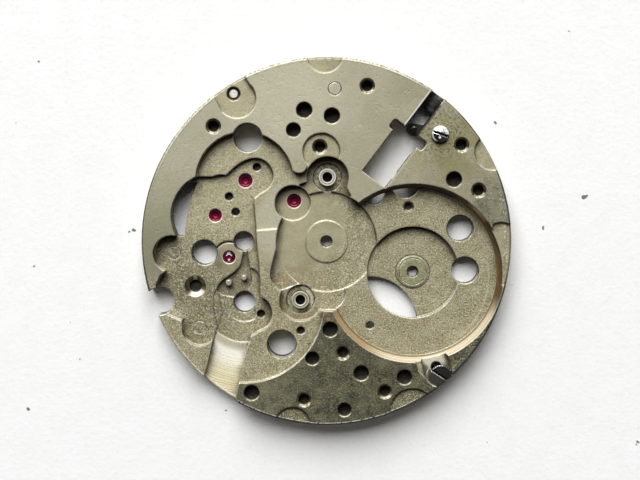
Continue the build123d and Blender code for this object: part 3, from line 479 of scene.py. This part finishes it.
def wall_tones(f, colour, lit):
    """The pockets' walls, painted bright where they face the window and painted dark low in the holes, and
    the rim's side with its lathe lines.
    """
    steep = f.step(f.maths("ABSOLUTE", f.up), 0.42, 0.20)
    wall = f.mixed(f.noise(0.4, 4.0), tone(120, 108, 78), tone(60, 52, 34))
    bright = f.mixed(f.step(f.noise(0.80, 3.0), 0.35, 0.65), tone(194, 187, 160), tone(224, 218, 195))
    # painted light on walls that face the window
    wall = f.tint(wall, bright, f.step(lit, 0.25, 0.60), 0.92)
    # painted shade on walls deep in the holes, where little light reaches
    wall = f.tint(wall, tone(34, 30, 21), f.at(DEEP_WALL_PAINTED_SHADE))
    lathe = f.streak(0.05, f.maths("MULTIPLY_ADD", f.noise(3.0), 0.04, f.height))
    rim_side = f.mixed(f.step(lathe, 0.38, 0.62), tone(184, 179, 155), tone(158, 153, 128))
    rim_side = f.tint(rim_side, tone(116, 108, 80), f.step(f.noise(1.4, 4.0, 0.7), 0.54, 0.68), 0.4)
    wall = f.mixed(f.step(f.distance(CENTRE), 12.80, 12.86), wall, rim_side)
    return f.tint(colour, wall, steep, 0.95)


def barrel_wall_painted_light_and_patina(f, colour):
    """The barrel's sloped wall: painted shade, nearly black, above, where it faces away from the window;
    brown at the right with a painted glint; streaked and painted pale gold below, where it faces the window.
    """
    out = f.distance(BARREL)
    wall = f.product(f.step(f.up, 0.10, 0.20), f.step(f.up, 0.60, 0.50), f.step(out, 5.86, 5.90),
                     f.step(out, 6.42, 6.36))
    streak = f.streak(0.07, f.maths("MULTIPLY_ADD", f.noise(1.2), 0.10, f.height))
    lines = f.step(streak, 0.42, 0.58)
    brown = f.mixed(f.step(f.height, 1.3, 1.9), tone(116, 92, 58), tone(58, 46, 26))
    brown = f.tint(brown, tone(158, 124, 82), lines, f.step(f.noise(0.9, 3.0), 0.40, 0.60), 0.6)
    # painted glint on the wall at the right
    brown = f.tint(brown, tone(214, 190, 156), f.near(WALL_GLINT, 0.5, 1.5), f.step(f.height, 1.5, 1.9), 0.8)
    # painted shade: the top of the wall, which faces away from the window
    black = tone(44, 38, 26)
    # painted light: the lower wall, which faces the window, over its streaks
    gold = f.mixed(lines, tone(255, 250, 228), tone(196, 172, 124))
    tan = f.mixed(lines, tone(214, 192, 150), tone(150, 122, 78))
    painted_light_and_patina = f.mixed(f.step(f.y, 1.0, 2.6), brown, black)
    painted_light_and_patina = f.mixed(f.step(f.x, 8.6, 9.8), painted_light_and_patina, brown)
    lower = f.mixed(f.step(f.x, 4.6, 2.4), gold, tan)
    lower = f.tint(lower, tone(112, 90, 52), f.step(f.height, 1.62, 1.28), 0.85)
    painted_light_and_patina = f.mixed(f.step(f.y, -3.6, -5.6), painted_light_and_patina, lower)
    return f.mixed(wall, colour, painted_light_and_patina)


def painted_shade_and_grime(f, colour, ragged, mottle, flat):
    """Painted shadow on the floors under the walls that stand towards the window, painted shade with some
    dirt where floors meet walls, and the flecked tube pockets.
    """
    painted_wall_shadow = f.maths("ADD", f.shelter(0.50, (0.12, 0.80, 0.59)), f.maths("MULTIPLY", ragged, 0.40))
    wells = f.greatest(f.near(share, 1.00, 1.05) for share in (UPPER_TUBE, LOWER_TUBE))
    wells = f.product(wells, f.at(UNDER_TUBE_FLOOR), flat)
    open_floor = f.maths("SUBTRACT", 1.0, f.maths("MULTIPLY", wells, 0.8))
    flecked = f.mixed(f.step(f.noise(0.22, 4.0, 0.7), 0.40, 0.58), tone(228, 223, 194), tone(150, 142, 110))
    colour = f.tint(colour, flecked, wells)
    colour = f.tint(colour, tone(24, 20, 12), f.step(painted_wall_shadow, 0.56, 0.72), flat, open_floor, 0.94)
    # painted shade, with some dirt, where floors meet walls
    corner_shade_and_dirt = f.maths("ADD", f.shelter(1.3, (0.05, 0.45, 0.89)), f.maths("MULTIPLY", mottle, 0.10))
    return f.tint(colour, tone(78, 66, 40), f.step(corner_shade_and_dirt, 0.20, 0.60), flat, open_floor, 0.80)


def seam_lines(f, colour, ragged, flat):
    """Dark seams about the pressed pieces, and a painted glint below each dial-side post."""
    seams = f.greatest(f.ring(share, radius, LINE_WIDTH) for share, radius in SEAMS)
    colour = f.tint(colour, tone(42, 38, 28), seams, flat, f.step(ragged, 0.36, 0.50, 0.60, 1.0))
    painted_glints = f.greatest(f.product(
        f.ring(share, 0.515, 0.045),
        f.step(f.y, share[1] * PLATE_RADIUS - 0.10, share[1] * PLATE_RADIUS - 0.40)) for share in DIAL_POSTS)
    return f.tint(colour, tone(226, 222, 200), painted_glints, flat, 0.5)


def hole_tones(f, colour, lit):
    """Blind holes painted dark for the shade inside them, lighter where the wall faces the window. Also
    returns where they are and where their mouths are, each as a mask.
    """
    dark, mouth = 0.0, 0.0
    for u, v, radius, low in BLIND_HOLES:
        out = f.distance((u, v))
        bore = f.product(f.step(out, radius + 0.03, radius + 0.01), f.step(f.height, low + 0.06, low - 0.06))
        dark = f.maths("MAXIMUM", dark, bore)
        mouth = f.maths("MAXIMUM", mouth, f.step(out, radius + 0.26, radius + 0.20))
    painted_hole_shade = f.mixed(f.step(lit, 0.2, 0.9), tone(46, 42, 32), tone(100, 93, 72))
    return f.tint(colour, painted_hole_shade, dark), dark, mouth


def dial_side_tones(f, mottle):
    """The underside: plain nickel, clouded and lightly stained."""
    colour = f.mixed(mottle, tone(178, 173, 148), tone(156, 150, 124))
    colour = f.tint(colour, tone(122, 113, 84), f.step(f.noise(1.6, 4.0, 0.7), 0.54, 0.68), 0.5)
    return f.tint(colour, tone(104, 97, 70), f.step(f.noise(0.12, 3.0, 0.7), 0.54, 0.62), 0.4)


def window_side(f):
    """0 along the clutch window's lower right side, whose edge gets no painted highlight, and 1 elsewhere."""
    along = f.along(STEM_AXIS)
    right = f.along(STEM_RIGHT)
    here = f.product(f.step(right, 0.70, 0.85), f.step(right, 1.35, 1.20), f.step(along, 5.3, 5.5),
                     f.step(along, 9.0, 8.8))
    return f.maths("SUBTRACT", 1.0, here)


def rim_marks(f, colour, ragged, flat, land):
    """The outermost edge: a dark line of painted shade low and at the right, where the edge faces away from
    the window; a score above, bruises at the right.
    """
    painted_rim_shade_band = f.at(ON_RIM), f.step(f.distance(CENTRE), 12.78, 12.86)
    lower, right = f.step(f.y, 0.0, -3.0), f.product(f.step(f.x, 8.0, 10.0), f.step(f.y, 6.0, 3.0), 0.7)
    dull = f.product(*painted_rim_shade_band, f.maths("MAXIMUM", lower, right), f.step(ragged, 0.30, 0.44))
    # painted shade on the rim's edge
    colour = f.tint(colour, tone(26, 23, 15), dull, 0.92)
    score = f.product(f.ring(*RIM_SCORE), flat, land, f.step(f.y, 3.0, 6.0), f.step(ragged, 0.44, 0.56))
    colour = f.tint(colour, tone(112, 106, 82), score, 0.7)
    bruised = f.product(f.ring(*RIM_BRUISES), flat, f.step(f.x, 5.0, 8.0), f.step(f.y, 4.5, 2.5))
    flecks = f.noise(0.17, 4.0, 0.75, f.moved(8.0, 2.0))
    colour = f.tint(colour, tone(236, 233, 216), bruised, f.step(flecks, 0.56, 0.62), 0.9)
    return f.tint(colour, tone(40, 36, 26), bruised, f.step(flecks, 0.44, 0.38), 0.8)


def stem_dirt(f, colour):
    """Black grease in the winding stem's slot, a crust on its right edge and a light ridge on its left."""
    off = f.maths("ABSOLUTE", f.along((-STEM_AXIS[1], STEM_AXIS[0])))
    along = f.along(STEM_AXIS)
    slot = f.product(f.step(off, 0.58, 0.55), f.step(along, 9.6, 9.75), f.at(UNDER_STEM_EDGE))
    grease = f.mixed(f.step(f.noise(0.35, 4.0), 0.45, 0.62), tone(26, 25, 22), tone(74, 72, 62))
    colour = f.mixed(slot, colour, grease)
    right = f.along(STEM_RIGHT)
    wavy = f.maths("ADD", right, f.maths("MULTIPLY", f.noise(0.26, 4.0, 0.75), 0.36))
    crust = f.product(f.step(wavy, 0.84, 0.78), f.step(right, 0.50, 0.54),
                      f.step(along, 8.9, 9.1), f.step(along, 12.6, 12.3))
    colour = f.tint(colour, tone(22, 20, 15), crust, 0.94)
    ridge = f.product(f.step(f.gap(right, -0.62), 0.06, 0.02),
                      f.step(along, 9.2, 9.4), f.step(along, 12.9, 12.7), f.at(ON_STEM_EDGE))
    return f.tint(colour, tone(250, 248, 236), ridge, 0.85)


def nickel_plate_finish():
    """Nickelled brass: smooth lands, sandy floors, painted shadow under the walls, painted highlights on
    edges that face the window, and stains.
    """
    f = Finish("nickelled_brass")
    edge, edge_lit, soft = f.edges(0.15, 0.14)
    fine = f.step(f.vector("DOT_PRODUCT", soft, f.facing), 0.86, 0.93, 1.0, 0.0)
    flat = f.step(f.up, 0.85, 0.97)
    land = f.at(ON_LAND)
    mottle = f.step(f.noise(0.9, 4.0, 0.6), 0.36, 0.64)
    cloud = f.step(f.noise(4.5, 2.0), 0.35, 0.65)
    lit = f.lit(f.facing)

    colour = land_tones(f, land, cloud, mottle)
    painted_highlight, lane = channel_painted_reflection(f)
    colour, smooth, coarse = sand(f, colour, land, lane)
    colour = f.mixed(lane, colour, painted_highlight)
    colour = dog_pocket_tones(f, colour)
    colour = stains(f, colour, land)
    colour = cone_tones(f, colour, lit)
    colour = wall_tones(f, colour, lit)
    colour = barrel_wall_painted_light_and_patina(f, colour)
    seats = f.greatest(f.ring(share, radius, LINE_WIDTH) for share, radius in JEWEL_SEATS)
    colour = f.tint(colour, tone(240, 222, 212), seats)

    ragged = f.noise(0.24, 4.0, 0.75)
    colour = painted_shade_and_grime(f, colour, ragged, mottle, flat)
    colour = seam_lines(f, colour, ragged, flat)
    colour, dark, mouth = hole_tones(f, colour, lit)
    colour = f.mixed(f.step(f.up, -0.50, -0.75), colour, dial_side_tones(f, mottle))

    open_edge = f.maths("SUBTRACT", 1.0, dark)
    away = f.step(edge_lit, 0.02, -0.16)
    outline = f.product(f.at(ON_OUTLINES), f.maths("SUBTRACT", 1.0, mouth))
    # painted shade: a ragged dark line along the land's edges that face away from the window
    shade = f.product(edge, open_edge, away, outline, f.step(ragged, 0.30, 0.42))
    colour = f.tint(colour, tone(26, 22, 14), shade, 0.92)
    halo = f.product(fine, open_edge, away, f.maths("SUBTRACT", 1.0, outline), f.step(ragged, 0.30, 0.46))
    colour = f.tint(colour, tone(232, 228, 208), halo, flat, 0.85)
    # painted highlight on edges that face the window
    painted_edge_highlight = f.product(fine, open_edge, f.step(edge_lit, 0.10, 0.42),
                     f.step(f.noise(0.20, 4.0, 0.7), 0.34, 0.50),
                     f.step(f.noise(1.6, 2.0), 0.40, 0.60, 0.40, 1.0), window_side(f))
    rim = f.product(f.ring(*RIM_EDGE), flat, f.step(ragged, 0.40, 0.52))
    rim_ends = f.maths("MAXIMUM", f.step(f.y, -5.0, -9.0), f.step(f.y, 4.0, 8.0))
    rim = f.product(rim, rim_ends, f.step(f.x, 7.5, 5.5))
    colour = f.tint(colour, tone(255, 252, 242), f.maths("MAXIMUM", painted_edge_highlight, rim), 0.95)
    colour = rim_marks(f, colour, ragged, flat, land)
    about_bore = f.ring(CASE_SCREW_BORE, 0.41, 0.06)
    colour = f.tint(colour, tone(244, 238, 218), about_bore, flat, f.at(UNDER_DOG_EDGE))
    colour = stem_dirt(f, colour)

    rough = f.step(f.noise(0.16, 4.0), 0.3, 0.7, 0.40, 0.58)
    rough = f.maths("SUBTRACT", rough, f.maths("MULTIPLY", f.greatest([painted_edge_highlight, lane]), 0.20))
    relief = f.maths("MULTIPLY", f.noise(0.13, 3.0, 0.65), f.between(smooth, 1.0, 0.30))
    relief = f.maths("ADD", relief, f.maths("MULTIPLY", coarse, -0.30))
    metal = f.maths("MULTIPLY_ADD", lane, -0.20, 0.25)
    return f.set(Base_Color=colour, Metallic=metal, Roughness=rough, Normal=f.bump(relief, 0.036, soft))


def ruby_finish(name, places, painted_shade_tone, painted_lit_tone, roughness, level, coat):
    """Synthetic ruby: painted shade, nearly black, on the side towards the light, and crimson painted light
    on the far side, where light comes through; paler at the middle. A coated one is bowl-shaped, with the
    window's reflection painted on as a crescent and a dot below."""
    f = Finish(name)
    down, out = 0.0, 9.0
    for share in places:
        here = f.near(share, 0.55, 0.60)
        down = f.maths("ADD", down, f.product(here, f.maths("SUBTRACT", share[1] * PLATE_RADIUS, f.y)))
        out = f.maths("MINIMUM", out, f.distance(share))
    drift = f.maths("ADD", down, f.maths("MULTIPLY", f.maths("SUBTRACT", f.noise(0.16, 3.0), 0.5), 0.25))
    colour = f.mixed(f.step(drift, -0.34, 0.36), tone(*painted_shade_tone), tone(*painted_lit_tone))
    colour = f.tint(colour, tone(124, 36, 70), f.step(out, 0.17, 0.08), 0.45)
    sink = f.step(f.gap(out, 0.25), 0.05, 0.01)
    colour = f.tint(colour, tone(58, 2, 24), sink, 0.6)
    # painted glint low on the jewel's rim
    glint = f.product(f.step(f.gap(out, 0.36), 0.05, 0.01), f.step(down, 0.24, 0.34))
    colour = f.tint(colour, tone(226, 120, 150), glint, 0.75)
    if coat:
        # painted reflection of the window: a crescent and a dot below
        crescent = f.product(f.step(f.gap(out, 0.20), 0.05, 0.02), f.step(down, -0.04, -0.12))
        dot = f.near((places[0][0], places[0][1] - 0.018), 0.04, 0.08)
        colour = f.tint(colour, tone(255, 255, 255), f.maths("MAXIMUM", crescent, dot), 0.9)
    return f.set(Base_Color=colour, Roughness=roughness, IOR=1.77, Specular_IOR_Level=level, Coat_Weight=coat,
                 Coat_Roughness=0.02, Coat_IOR=1.9)


def steel_finish(name, bright, dark, roughness, metallic=1.0):
    """Steel with fine scratches, its edges painted bright towards the window and painted dark away from it.
    """
    f = Finish(name)
    edge, edge_lit, soft = f.edges(0.06)
    scratch = f.noise(0.30, 4.0, 0.7, f.stretched(9))
    colour = f.mixed(scratch, tone(*bright), tone(*dark))
    colour = f.tint(colour, tone(22, 21, 19), edge, f.step(edge_lit, 0.0, -0.35), 0.8)
    colour = f.tint(colour, tone(250, 248, 240), edge, f.step(edge_lit, 0.05, 0.40), 0.8)
    rough = f.step(scratch, 0.3, 0.7, roughness * 0.8, roughness * 1.25)
    normal = f.bump(scratch, 0.004, soft)
    return f.set(Base_Color=colour, Metallic=metallic, Roughness=rough, Normal=normal)


def tube_finish(name, share, bright, dull):
    """A bridge tube: turned rings on its rim, and a threaded bore painted black for the shade inside it."""
    f = Finish(name)
    out = f.distance(share)
    grain = f.noise(0.10, 3.0, 0.7)
    rings = f.streak(0.045, out)
    turned_face = f.maths("ADD", f.maths("MULTIPLY", grain, 0.5), f.maths("MULTIPLY", rings, 0.5))
    colour = f.mixed(f.step(turned_face, 0.40, 0.60), tone(*bright), tone(*dull))
    line = f.step(f.gap(out, 0.475), 0.035, 0.01)
    colour = f.tint(colour, tone(84, 78, 58), line, 0.8)
    outer_lip = f.step(f.gap(out, 0.585), 0.04, 0.01)
    inner_lip = f.product(f.step(out, 0.44, 0.40), f.step(out, 0.34, 0.36))
    colour = f.tint(colour, tone(250, 247, 234), f.maths("MAXIMUM", outer_lip, inner_lip), 0.8)
    side = f.step(f.height, 1.40, 1.32)
    colour = f.tint(colour, tone(70, 62, 42), side, f.step(out, 0.58, 0.60))
    upward = f.node("ShaderNodeCombineXYZ", {0: f.height}).outputs[0]
    thread = f.node("ShaderNodeTexWave", {"Vector": upward, "Scale": 1.8}).outputs["Fac"]
    # painted shade: the bore's black, with thread lines
    bore = f.mixed(thread, tone(10, 9, 8), tone(44, 42, 36))
    colour = f.tint(colour, bore, f.step(out, 0.37, 0.35), f.step(f.height, 1.45, 1.36))
    return f.set(Base_Color=colour, Metallic=0.3, Roughness=0.34, Normal=f.bump(grain, 0.006))


def screw_finish(name, share, turn, face, painted_side_tone, roughness, collar=None):
    """A polished screw's head: dark steel with one side painted in a second tone, a painted reflection on the
    case screw and painted shade on the lever's screw, and a slot painted black for its shade, whose far edge
    has a painted highlight.
    One with a collar has a ring from that radius outwards painted pale on the side towards the window, and
    the window's white reflection painted on."""
    f = Finish(name)
    edge, edge_lit, soft = f.edges(0.05)
    angle = radians(turn)
    centre = (share[0] * PLATE_RADIUS, share[1] * PLATE_RADIUS, 0)
    from_centre = f.vector("SUBTRACT", f.flat, centre)
    across = f.vector("DOT_PRODUCT", from_centre, (-sin(angle), cos(angle), 0))
    along = f.vector("DOT_PRODUCT", from_centre, (cos(angle), sin(angle), 0))
    scratch = f.noise(0.22, 4.0, 0.7, f.stretched(8))
    face, painted_side_tone = tone(*face), tone(*painted_side_tone)
    colour = f.mixed(f.step(scratch, 0.35, 0.65, 0.0, 0.35), face, painted_side_tone)
    # one side painted in a second tone: a reflection on the case screw, shade on the lever's screw
    colour = f.tint(colour, painted_side_tone, f.step(across, -0.05, -0.16), f.step(along, 0.50, 0.00, 0.5, 1.0), 0.8)
    slot = f.step(f.maths("ABSOLUTE", across), SLOT_WIDTH / 2 + 0.015, SLOT_WIDTH / 2 - 0.01)
    # painted shade in the slot
    colour = f.tint(colour, tone(14, 13, 11), slot)
    # painted shade on edges away from the window
    colour = f.tint(colour, tone(20, 19, 17), edge, f.step(edge_lit, 0.0, -0.35), 0.8)
    metal = 0.75
    if collar:
        # painted light on the collar's side towards the window
        painted_lit_collar = f.product(f.step(f.distance(share), collar, collar + 0.03),
                         f.step(f.vector("DOT_PRODUCT", from_centre, (-0.8, 0.6, 0)), -0.25, 0.10))
        colour = f.tint(colour, tone(206, 204, 196), painted_lit_collar)
        # painted highlights: the window's white reflection on the head
        spot = f.step(f.vector("DISTANCE", from_centre, (-0.04, -0.23, 0)), 0.11, 0.07)
        painted_highlight = f.product(f.step(across, 0.10, 0.20), f.step(f.noise(0.25, 3.0), 0.34, 0.50))
        colour = f.tint(colour, tone(255, 255, 252), f.maths("MAXIMUM", spot, painted_highlight))
        metal = f.between(f.greatest([painted_lit_collar, spot, painted_highlight]), 0.75, 0.10)
    # painted highlight on the slot's far edge and on edges towards the window
    painted_far_edge = f.step(f.gap(across, -SLOT_WIDTH / 2 - 0.01), 0.035, 0.015)
    painted_far_edge = f.product(painted_far_edge, f.step(f.noise(0.3, 2.0), 0.36, 0.50), f.step(along, 0.45, 0.20))
    rim = f.product(edge, f.step(edge_lit, 0.05, 0.40), 0.8)
    colour = f.tint(colour, tone(255, 254, 250), f.maths("MAXIMUM", painted_far_edge, rim), 0.95)
    rough = f.step(scratch, 0.3, 0.7, roughness * 0.8, roughness * 1.25)
    return f.set(Base_Color=colour, Metallic=metal, Roughness=rough, Normal=f.bump(scratch, 0.003, soft))


def post_end_finish():
    """The bright faced end of the rim's post: clean steel with a faint dish of grey cloud."""
    f = Finish("post_end_steel")
    cloud = f.step(f.noise(0.20, 4.0, 0.7), 0.36, 0.64)
    colour = f.mixed(cloud, tone(252, 250, 246), tone(214, 211, 204))
    colour = f.tint(colour, tone(96, 92, 78), f.step(f.distance(RIM_POST), 0.24, 0.30), 0.8)
    return f.set(Base_Color=colour, Metallic=0.1, Roughness=0.32, Normal=f.bump(cloud, 0.004))


def kept(piece, node, body, finish):
    """The last steps for every piece: its finish, and what it stands for and rides on."""
    piece.data.materials.clear()
    piece.data.materials.append(finish)
    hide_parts(node)
    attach(piece, body)


def placed(name, data):
    """An object in the scene, with this mesh, lamp or camera in it."""
    piece = bpy.data.objects.new(name, data)
    bpy.context.scene.collection.objects.link(piece)
    return piece


def merged(node, name, angle):
    """A copy of a solid's mesh with its triangles joined, smooth but for edges sharper than the angle."""
    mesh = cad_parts[node].data.copy()
    mesh.name = name
    work = bmesh.new()
    work.from_mesh(mesh)
    bmesh.ops.remove_doubles(work, verts=work.verts, dist=SAME_POINT)
    for face in work.faces:
        face.smooth = True
    work.to_mesh(mesh)
    work.free()
    if "custom_normal" in mesh.attributes:
        mesh.attributes.remove(mesh.attributes["custom_normal"])
    mesh.set_sharp_from_angle(angle=radians(angle))
    return placed(name, mesh)


def turned(name, share, profile):
    """A surface of revolution: each point (radius, height) of a closed profile is carried round the
    vertical through a place, at radius * (cos t, sin t), for t over one turn."""
    profile = np.array(profile, float)
    turn = np.linspace(0, 2 * pi, TURN_STEPS, endpoint=False)
    radius, height = profile[:, 0][:, None], profile[:, 1][:, None]
    x = share[0] * PLATE_RADIUS + radius * np.cos(turn)
    y = share[1] * PLATE_RADIUS + radius * np.sin(turn)
    z = height + np.zeros_like(turn)
    points = np.stack([x, y, z], -1).reshape(-1, 3) * MM
    rows = len(profile)
    row, column = np.meshgrid(np.arange(rows), np.arange(TURN_STEPS), indexing="ij")
    next_row, next_column = (row + 1) % rows, (column + 1) % TURN_STEPS
    here, beyond = row * TURN_STEPS, next_row * TURN_STEPS
    faces = np.stack([here + column, here + next_column, beyond + next_column, beyond + column], -1)
    mesh = bpy.data.meshes.new(name)
    mesh.from_pydata(points.tolist(), [], faces.reshape(-1, 4).tolist())
    work = bmesh.new()
    work.from_mesh(mesh)
    bmesh.ops.remove_doubles(work, verts=work.verts, dist=SAME_TURNED_POINT)
    bmesh.ops.recalc_face_normals(work, faces=work.faces)
    for face in work.faces:
        face.smooth = True
    work.to_mesh(mesh)
    work.free()
    mesh.set_sharp_from_angle(angle=radians(SHARP_TURNED_EDGE))
    return placed(name, mesh)


def jewel_profile(radius, surface, dome):
    """A pressed jewel in section: broken rim, flat or domed top, oil sink or bowl, and pivot hole."""
    top = surface - JEWEL_SINK
    low = top - JEWEL_THICKNESS
    flat_end = radius - JEWEL_RIM
    side = [(PIVOT_RADIUS, low), (radius - JEWEL_FOOT, low), (radius, low + JEWEL_FOOT),
            (radius, top - JEWEL_RIM)]
    if not dome:
        turns = np.linspace(0, 1.34, 7)
        sink = [(OIL_SINK_RADIUS * cos(turn), top - OIL_SINK_DEPTH * sin(turn)) for turn in turns]
        return side + [(flat_end, top)] + sink
    crown = [(r, top + dome * (1 - (r / radius) ** 2)) for r in np.linspace(flat_end, BOWL_RADIUS, 6)]
    edge = crown[-1][1]
    bowl = [(r, edge - BOWL_CURVE * (BOWL_RADIUS ** 2 - r ** 2)) for r in np.linspace(0.20, PIVOT_RADIUS, 5)]
    return side + crown + bowl


def bar_profile(radius, low, high, bevel):
    """A round bar in section, its upper edge broken."""
    return [(ON_AXIS, low), (radius, low), (radius, high - bevel), (radius - bevel, high), (ON_AXIS, high)]


def tube_profile():
    """A bridge tube in section: broken outer edge, a groove in its rim, chamfered mouth and closed floor."""
    groove = TUBE_HIGH - 0.02
    floor = TUBE_LOW + TUBE_FLOOR
    return [(ON_AXIS, TUBE_LOW), (TUBE_RADIUS, TUBE_LOW), (TUBE_RADIUS, TUBE_HIGH - 0.05), (0.585, TUBE_HIGH),
            (0.50, TUBE_HIGH), (0.48, groove), (0.44, groove), (TUBE_BORE + TUBE_LIP, TUBE_HIGH),
            (TUBE_BORE, TUBE_HIGH - TUBE_LIP), (TUBE_BORE, floor), (ON_AXIS, floor)]


def paper():
    """A sheet of white paper under the plate, and what the room shows beyond it."""
    half = PAPER_SIZE / 2
    corners = np.array([(-half, -half, -PAPER_DROP), (half, -half, -PAPER_DROP),
                        (half, half, -PAPER_DROP), (-half, half, -PAPER_DROP)]) * MM
    mesh = bpy.data.meshes.new("paper")
    mesh.from_pydata(corners.tolist(), [], [(0, 1, 2, 3)])
    sheet = placed("paper", mesh)
    f = Finish("paper_white")
    fibre = f.noise(1.6, 5.0, 0.6)
    colour = f.mixed(f.step(fibre, 0.3, 0.7), tone(252, 252, 252), tone(249, 249, 248))
    tooth = f.noise(0.35, 4.0, 0.7)
    colour = f.tint(colour, tone(236, 236, 234), f.step(tooth, 0.56, 0.70), 0.5)
    fleck = f.step(f.noise(1.3, 2.0, 0.5, f.moved(3.0, 5.0)), 0.745, 0.765)
    colour = f.tint(colour, tone(120, 118, 114), fleck)
    mesh.materials.append(f.set(Base_Color=colour, Roughness=0.9, Normal=f.bump(tooth, 0.03)))


def room():
    """A pale room: white walls round the horizon, dimmer away from the window, rising to a dim ceiling."""
    world = bpy.data.worlds.new("room")
    bpy.context.scene.world = world
    world.use_nodes = True
    tree = world.node_tree
    tree.nodes.clear()
    direction = tree.nodes.new("ShaderNodeTexCoord").outputs["Generated"]
    apart = tree.nodes.new("ShaderNodeSeparateXYZ")
    tree.links.new(direction, apart.inputs[0])

    def level(axis, bounds, first, last):
        """A strength that goes smoothly from first to last as the view turns between two bounds."""
        made = tree.nodes.new("ShaderNodeMapRange")
        made.interpolation_type = "SMOOTHSTEP"
        for key, value in zip(("From Min", "From Max", "To Min", "To Max"), (*bounds, first, last)):
            made.inputs[key].default_value = value
        tree.links.new(apart.outputs[axis], made.inputs["Value"])
        return made.outputs[0]

    height = level(2, WALL_TO_SKY, 1.0, SKY_LEVEL)
    depth = level(1, FAR_TO_NEAR_WALL, FAR_WALL_LEVEL, 1.0)
    both = tree.nodes.new("ShaderNodeMath")
    both.operation = "MULTIPLY"
    tree.links.new(height, both.inputs[0])
    tree.links.new(depth, both.inputs[1])
    light = tree.nodes.new("ShaderNodeBackground")
    tree.links.new(both.outputs[0], light.inputs["Strength"])
    output = tree.nodes.new("ShaderNodeOutputWorld")
    tree.links.new(light.outputs[0], output.inputs["Surface"])


def key_light():
    """A window-like panel that shines from the top of the view, a little to its left."""
    data = bpy.data.lights.new("window", "AREA")
    data.shape = "RECTANGLE"
    data.size = KEY_WIDTH * MM
    data.size_y = KEY_HEIGHT * MM
    data.energy = KEY_POWER
    lamp = placed("window", data)
    rise, turn = radians(KEY_ELEVATION), radians(KEY_AZIMUTH)
    away = Vector((cos(turn) * cos(rise), sin(turn) * cos(rise), sin(rise)))
    lamp.location = away * KEY_DISTANCE * MM
    lamp.rotation_euler = away.to_track_quat("Z", "Y").to_euler()


def camera():
    """A camera above the movement side, leaning a little towards the top of the view."""
    data = bpy.data.cameras.new("camera")
    data.lens = LENS
    data.sensor_width = SENSOR
    data.clip_start = NEAREST_SEEN * MM
    seat = placed("camera", data)
    away = Vector((0, sin(CAMERA_LEAN), cos(CAMERA_LEAN)))
    seat.location = (Vector(AIM) + away * CAMERA_DISTANCE) * MM
    seat.rotation_euler = (-CAMERA_LEAN, 0, 0)
    bpy.context.scene.camera = seat


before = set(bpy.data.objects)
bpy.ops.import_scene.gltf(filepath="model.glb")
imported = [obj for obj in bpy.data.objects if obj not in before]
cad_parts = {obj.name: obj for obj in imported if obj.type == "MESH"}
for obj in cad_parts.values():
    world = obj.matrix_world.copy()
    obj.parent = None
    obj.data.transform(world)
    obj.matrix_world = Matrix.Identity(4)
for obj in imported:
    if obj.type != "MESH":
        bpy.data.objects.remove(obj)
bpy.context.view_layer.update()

camera()
key_light()
room()
paper()
bpy.context.scene.view_settings.view_transform = "Standard"

nickel = nickel_plate_finish()
ruby = ruby_finish("ruby", (THIRD, FOURTH, ESCAPE), (44, 0, 16), (128, 2, 48), 0.34, 0.12, 0.0)
domed_ruby = ruby_finish("domed_ruby", (PALLET,), (46, 1, 12), (110, 4, 32), 0.20, 0.2, 0.1)
pin_steel = steel_finish("pin_steel", (226, 223, 206), (160, 155, 134), 0.30, 0.45)
post_steel = steel_finish("post_steel", (178, 173, 150), (150, 146, 124), 0.42, 0.25)
lever_steel = steel_finish("lever_steel", (84, 83, 80), (44, 44, 42), 0.42, 0.5)
black_steel = steel_finish("black_steel", (70, 69, 66), (26, 26, 25), 0.25, 0.8)
dark_steel = steel_finish("dark_steel", (104, 104, 108), (36, 36, 40), 0.18)

plate = merged("main_plate", "plate_of_nickelled_brass", SHARP_PLATE_EDGE)
kept(plate, "main_plate", "plate", nickel)
for node, share, radius, surface, dome in JEWELS:
    jewel = turned("ruby_of_" + node, share, jewel_profile(radius, surface, dome))
    kept(jewel, node, "plate", domed_ruby if dome else ruby)
for number, (share, radius) in enumerate(BANKING_PINS, start=1):
    pin = turned(f"pin_for_banking_{number}", share, bar_profile(radius, PIN_LOW, PIN_HIGH, PIN_BEVEL))
    kept(pin, f"banking_pin_{number}", "plate", pin_steel)
for side, share, bright, dull in (
    ("upper", UPPER_TUBE, (248, 244, 230), (206, 201, 180)),
    ("lower", LOWER_TUBE, (206, 201, 172), (158, 152, 122)),
):
    tube = turned(f"tube_{side}", share, tube_profile())
    tube_steel = tube_finish(f"tube_steel_{side}", share, bright, dull)
    kept(tube, f"train_bridge_tube_{side}", "plate", tube_steel)
lever_screw_steel = screw_finish("lever_screw_steel", LEVER_SCREW, LEVER_SCREW_TURN, (150, 150, 150),
                                 (30, 30, 30), 0.16, LEVER_SCREW_COLLAR)
dog_screw_steel = screw_finish("dog_screw_steel", DOG_SCREW, DOG_SCREW_TURN, (56, 56, 55),
                               (108, 108, 104), 0.30)
for node, body, slot, steel in (
    ("setting_lever", "lever", "steel_lever", lever_steel),
    ("setting_lever_screw", "lever_screw", "dark_screw", lever_screw_steel),
    ("setting_lever_spring", "plate", "steel_spring", lever_steel),
    ("setting_lever_spring_screw", "plate", "dark_screw", dark_steel),
    ("dog_screw", "case_screw", "dark_screw", dog_screw_steel),
):
    kept(merged(node, "finished_" + node, SHARP_STEEL_EDGE), node, body, steel)

# These solids stay as they are, and only get their looks
for finish, nodes in (
    (nickel, ("barrel_arbor_bush", "dial_side_post_1", "dial_side_post_2", "dial_side_post_3")),
    (post_end_finish(), ("dial_side_post_4",)),
    (post_steel, ("minute_wheel_post", "yoke_post")),
    (black_steel, ("setting_lever_pin",)),
):
    for node in nodes:
        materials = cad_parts[node].data.materials
        materials.clear()
        materials.append(finish)
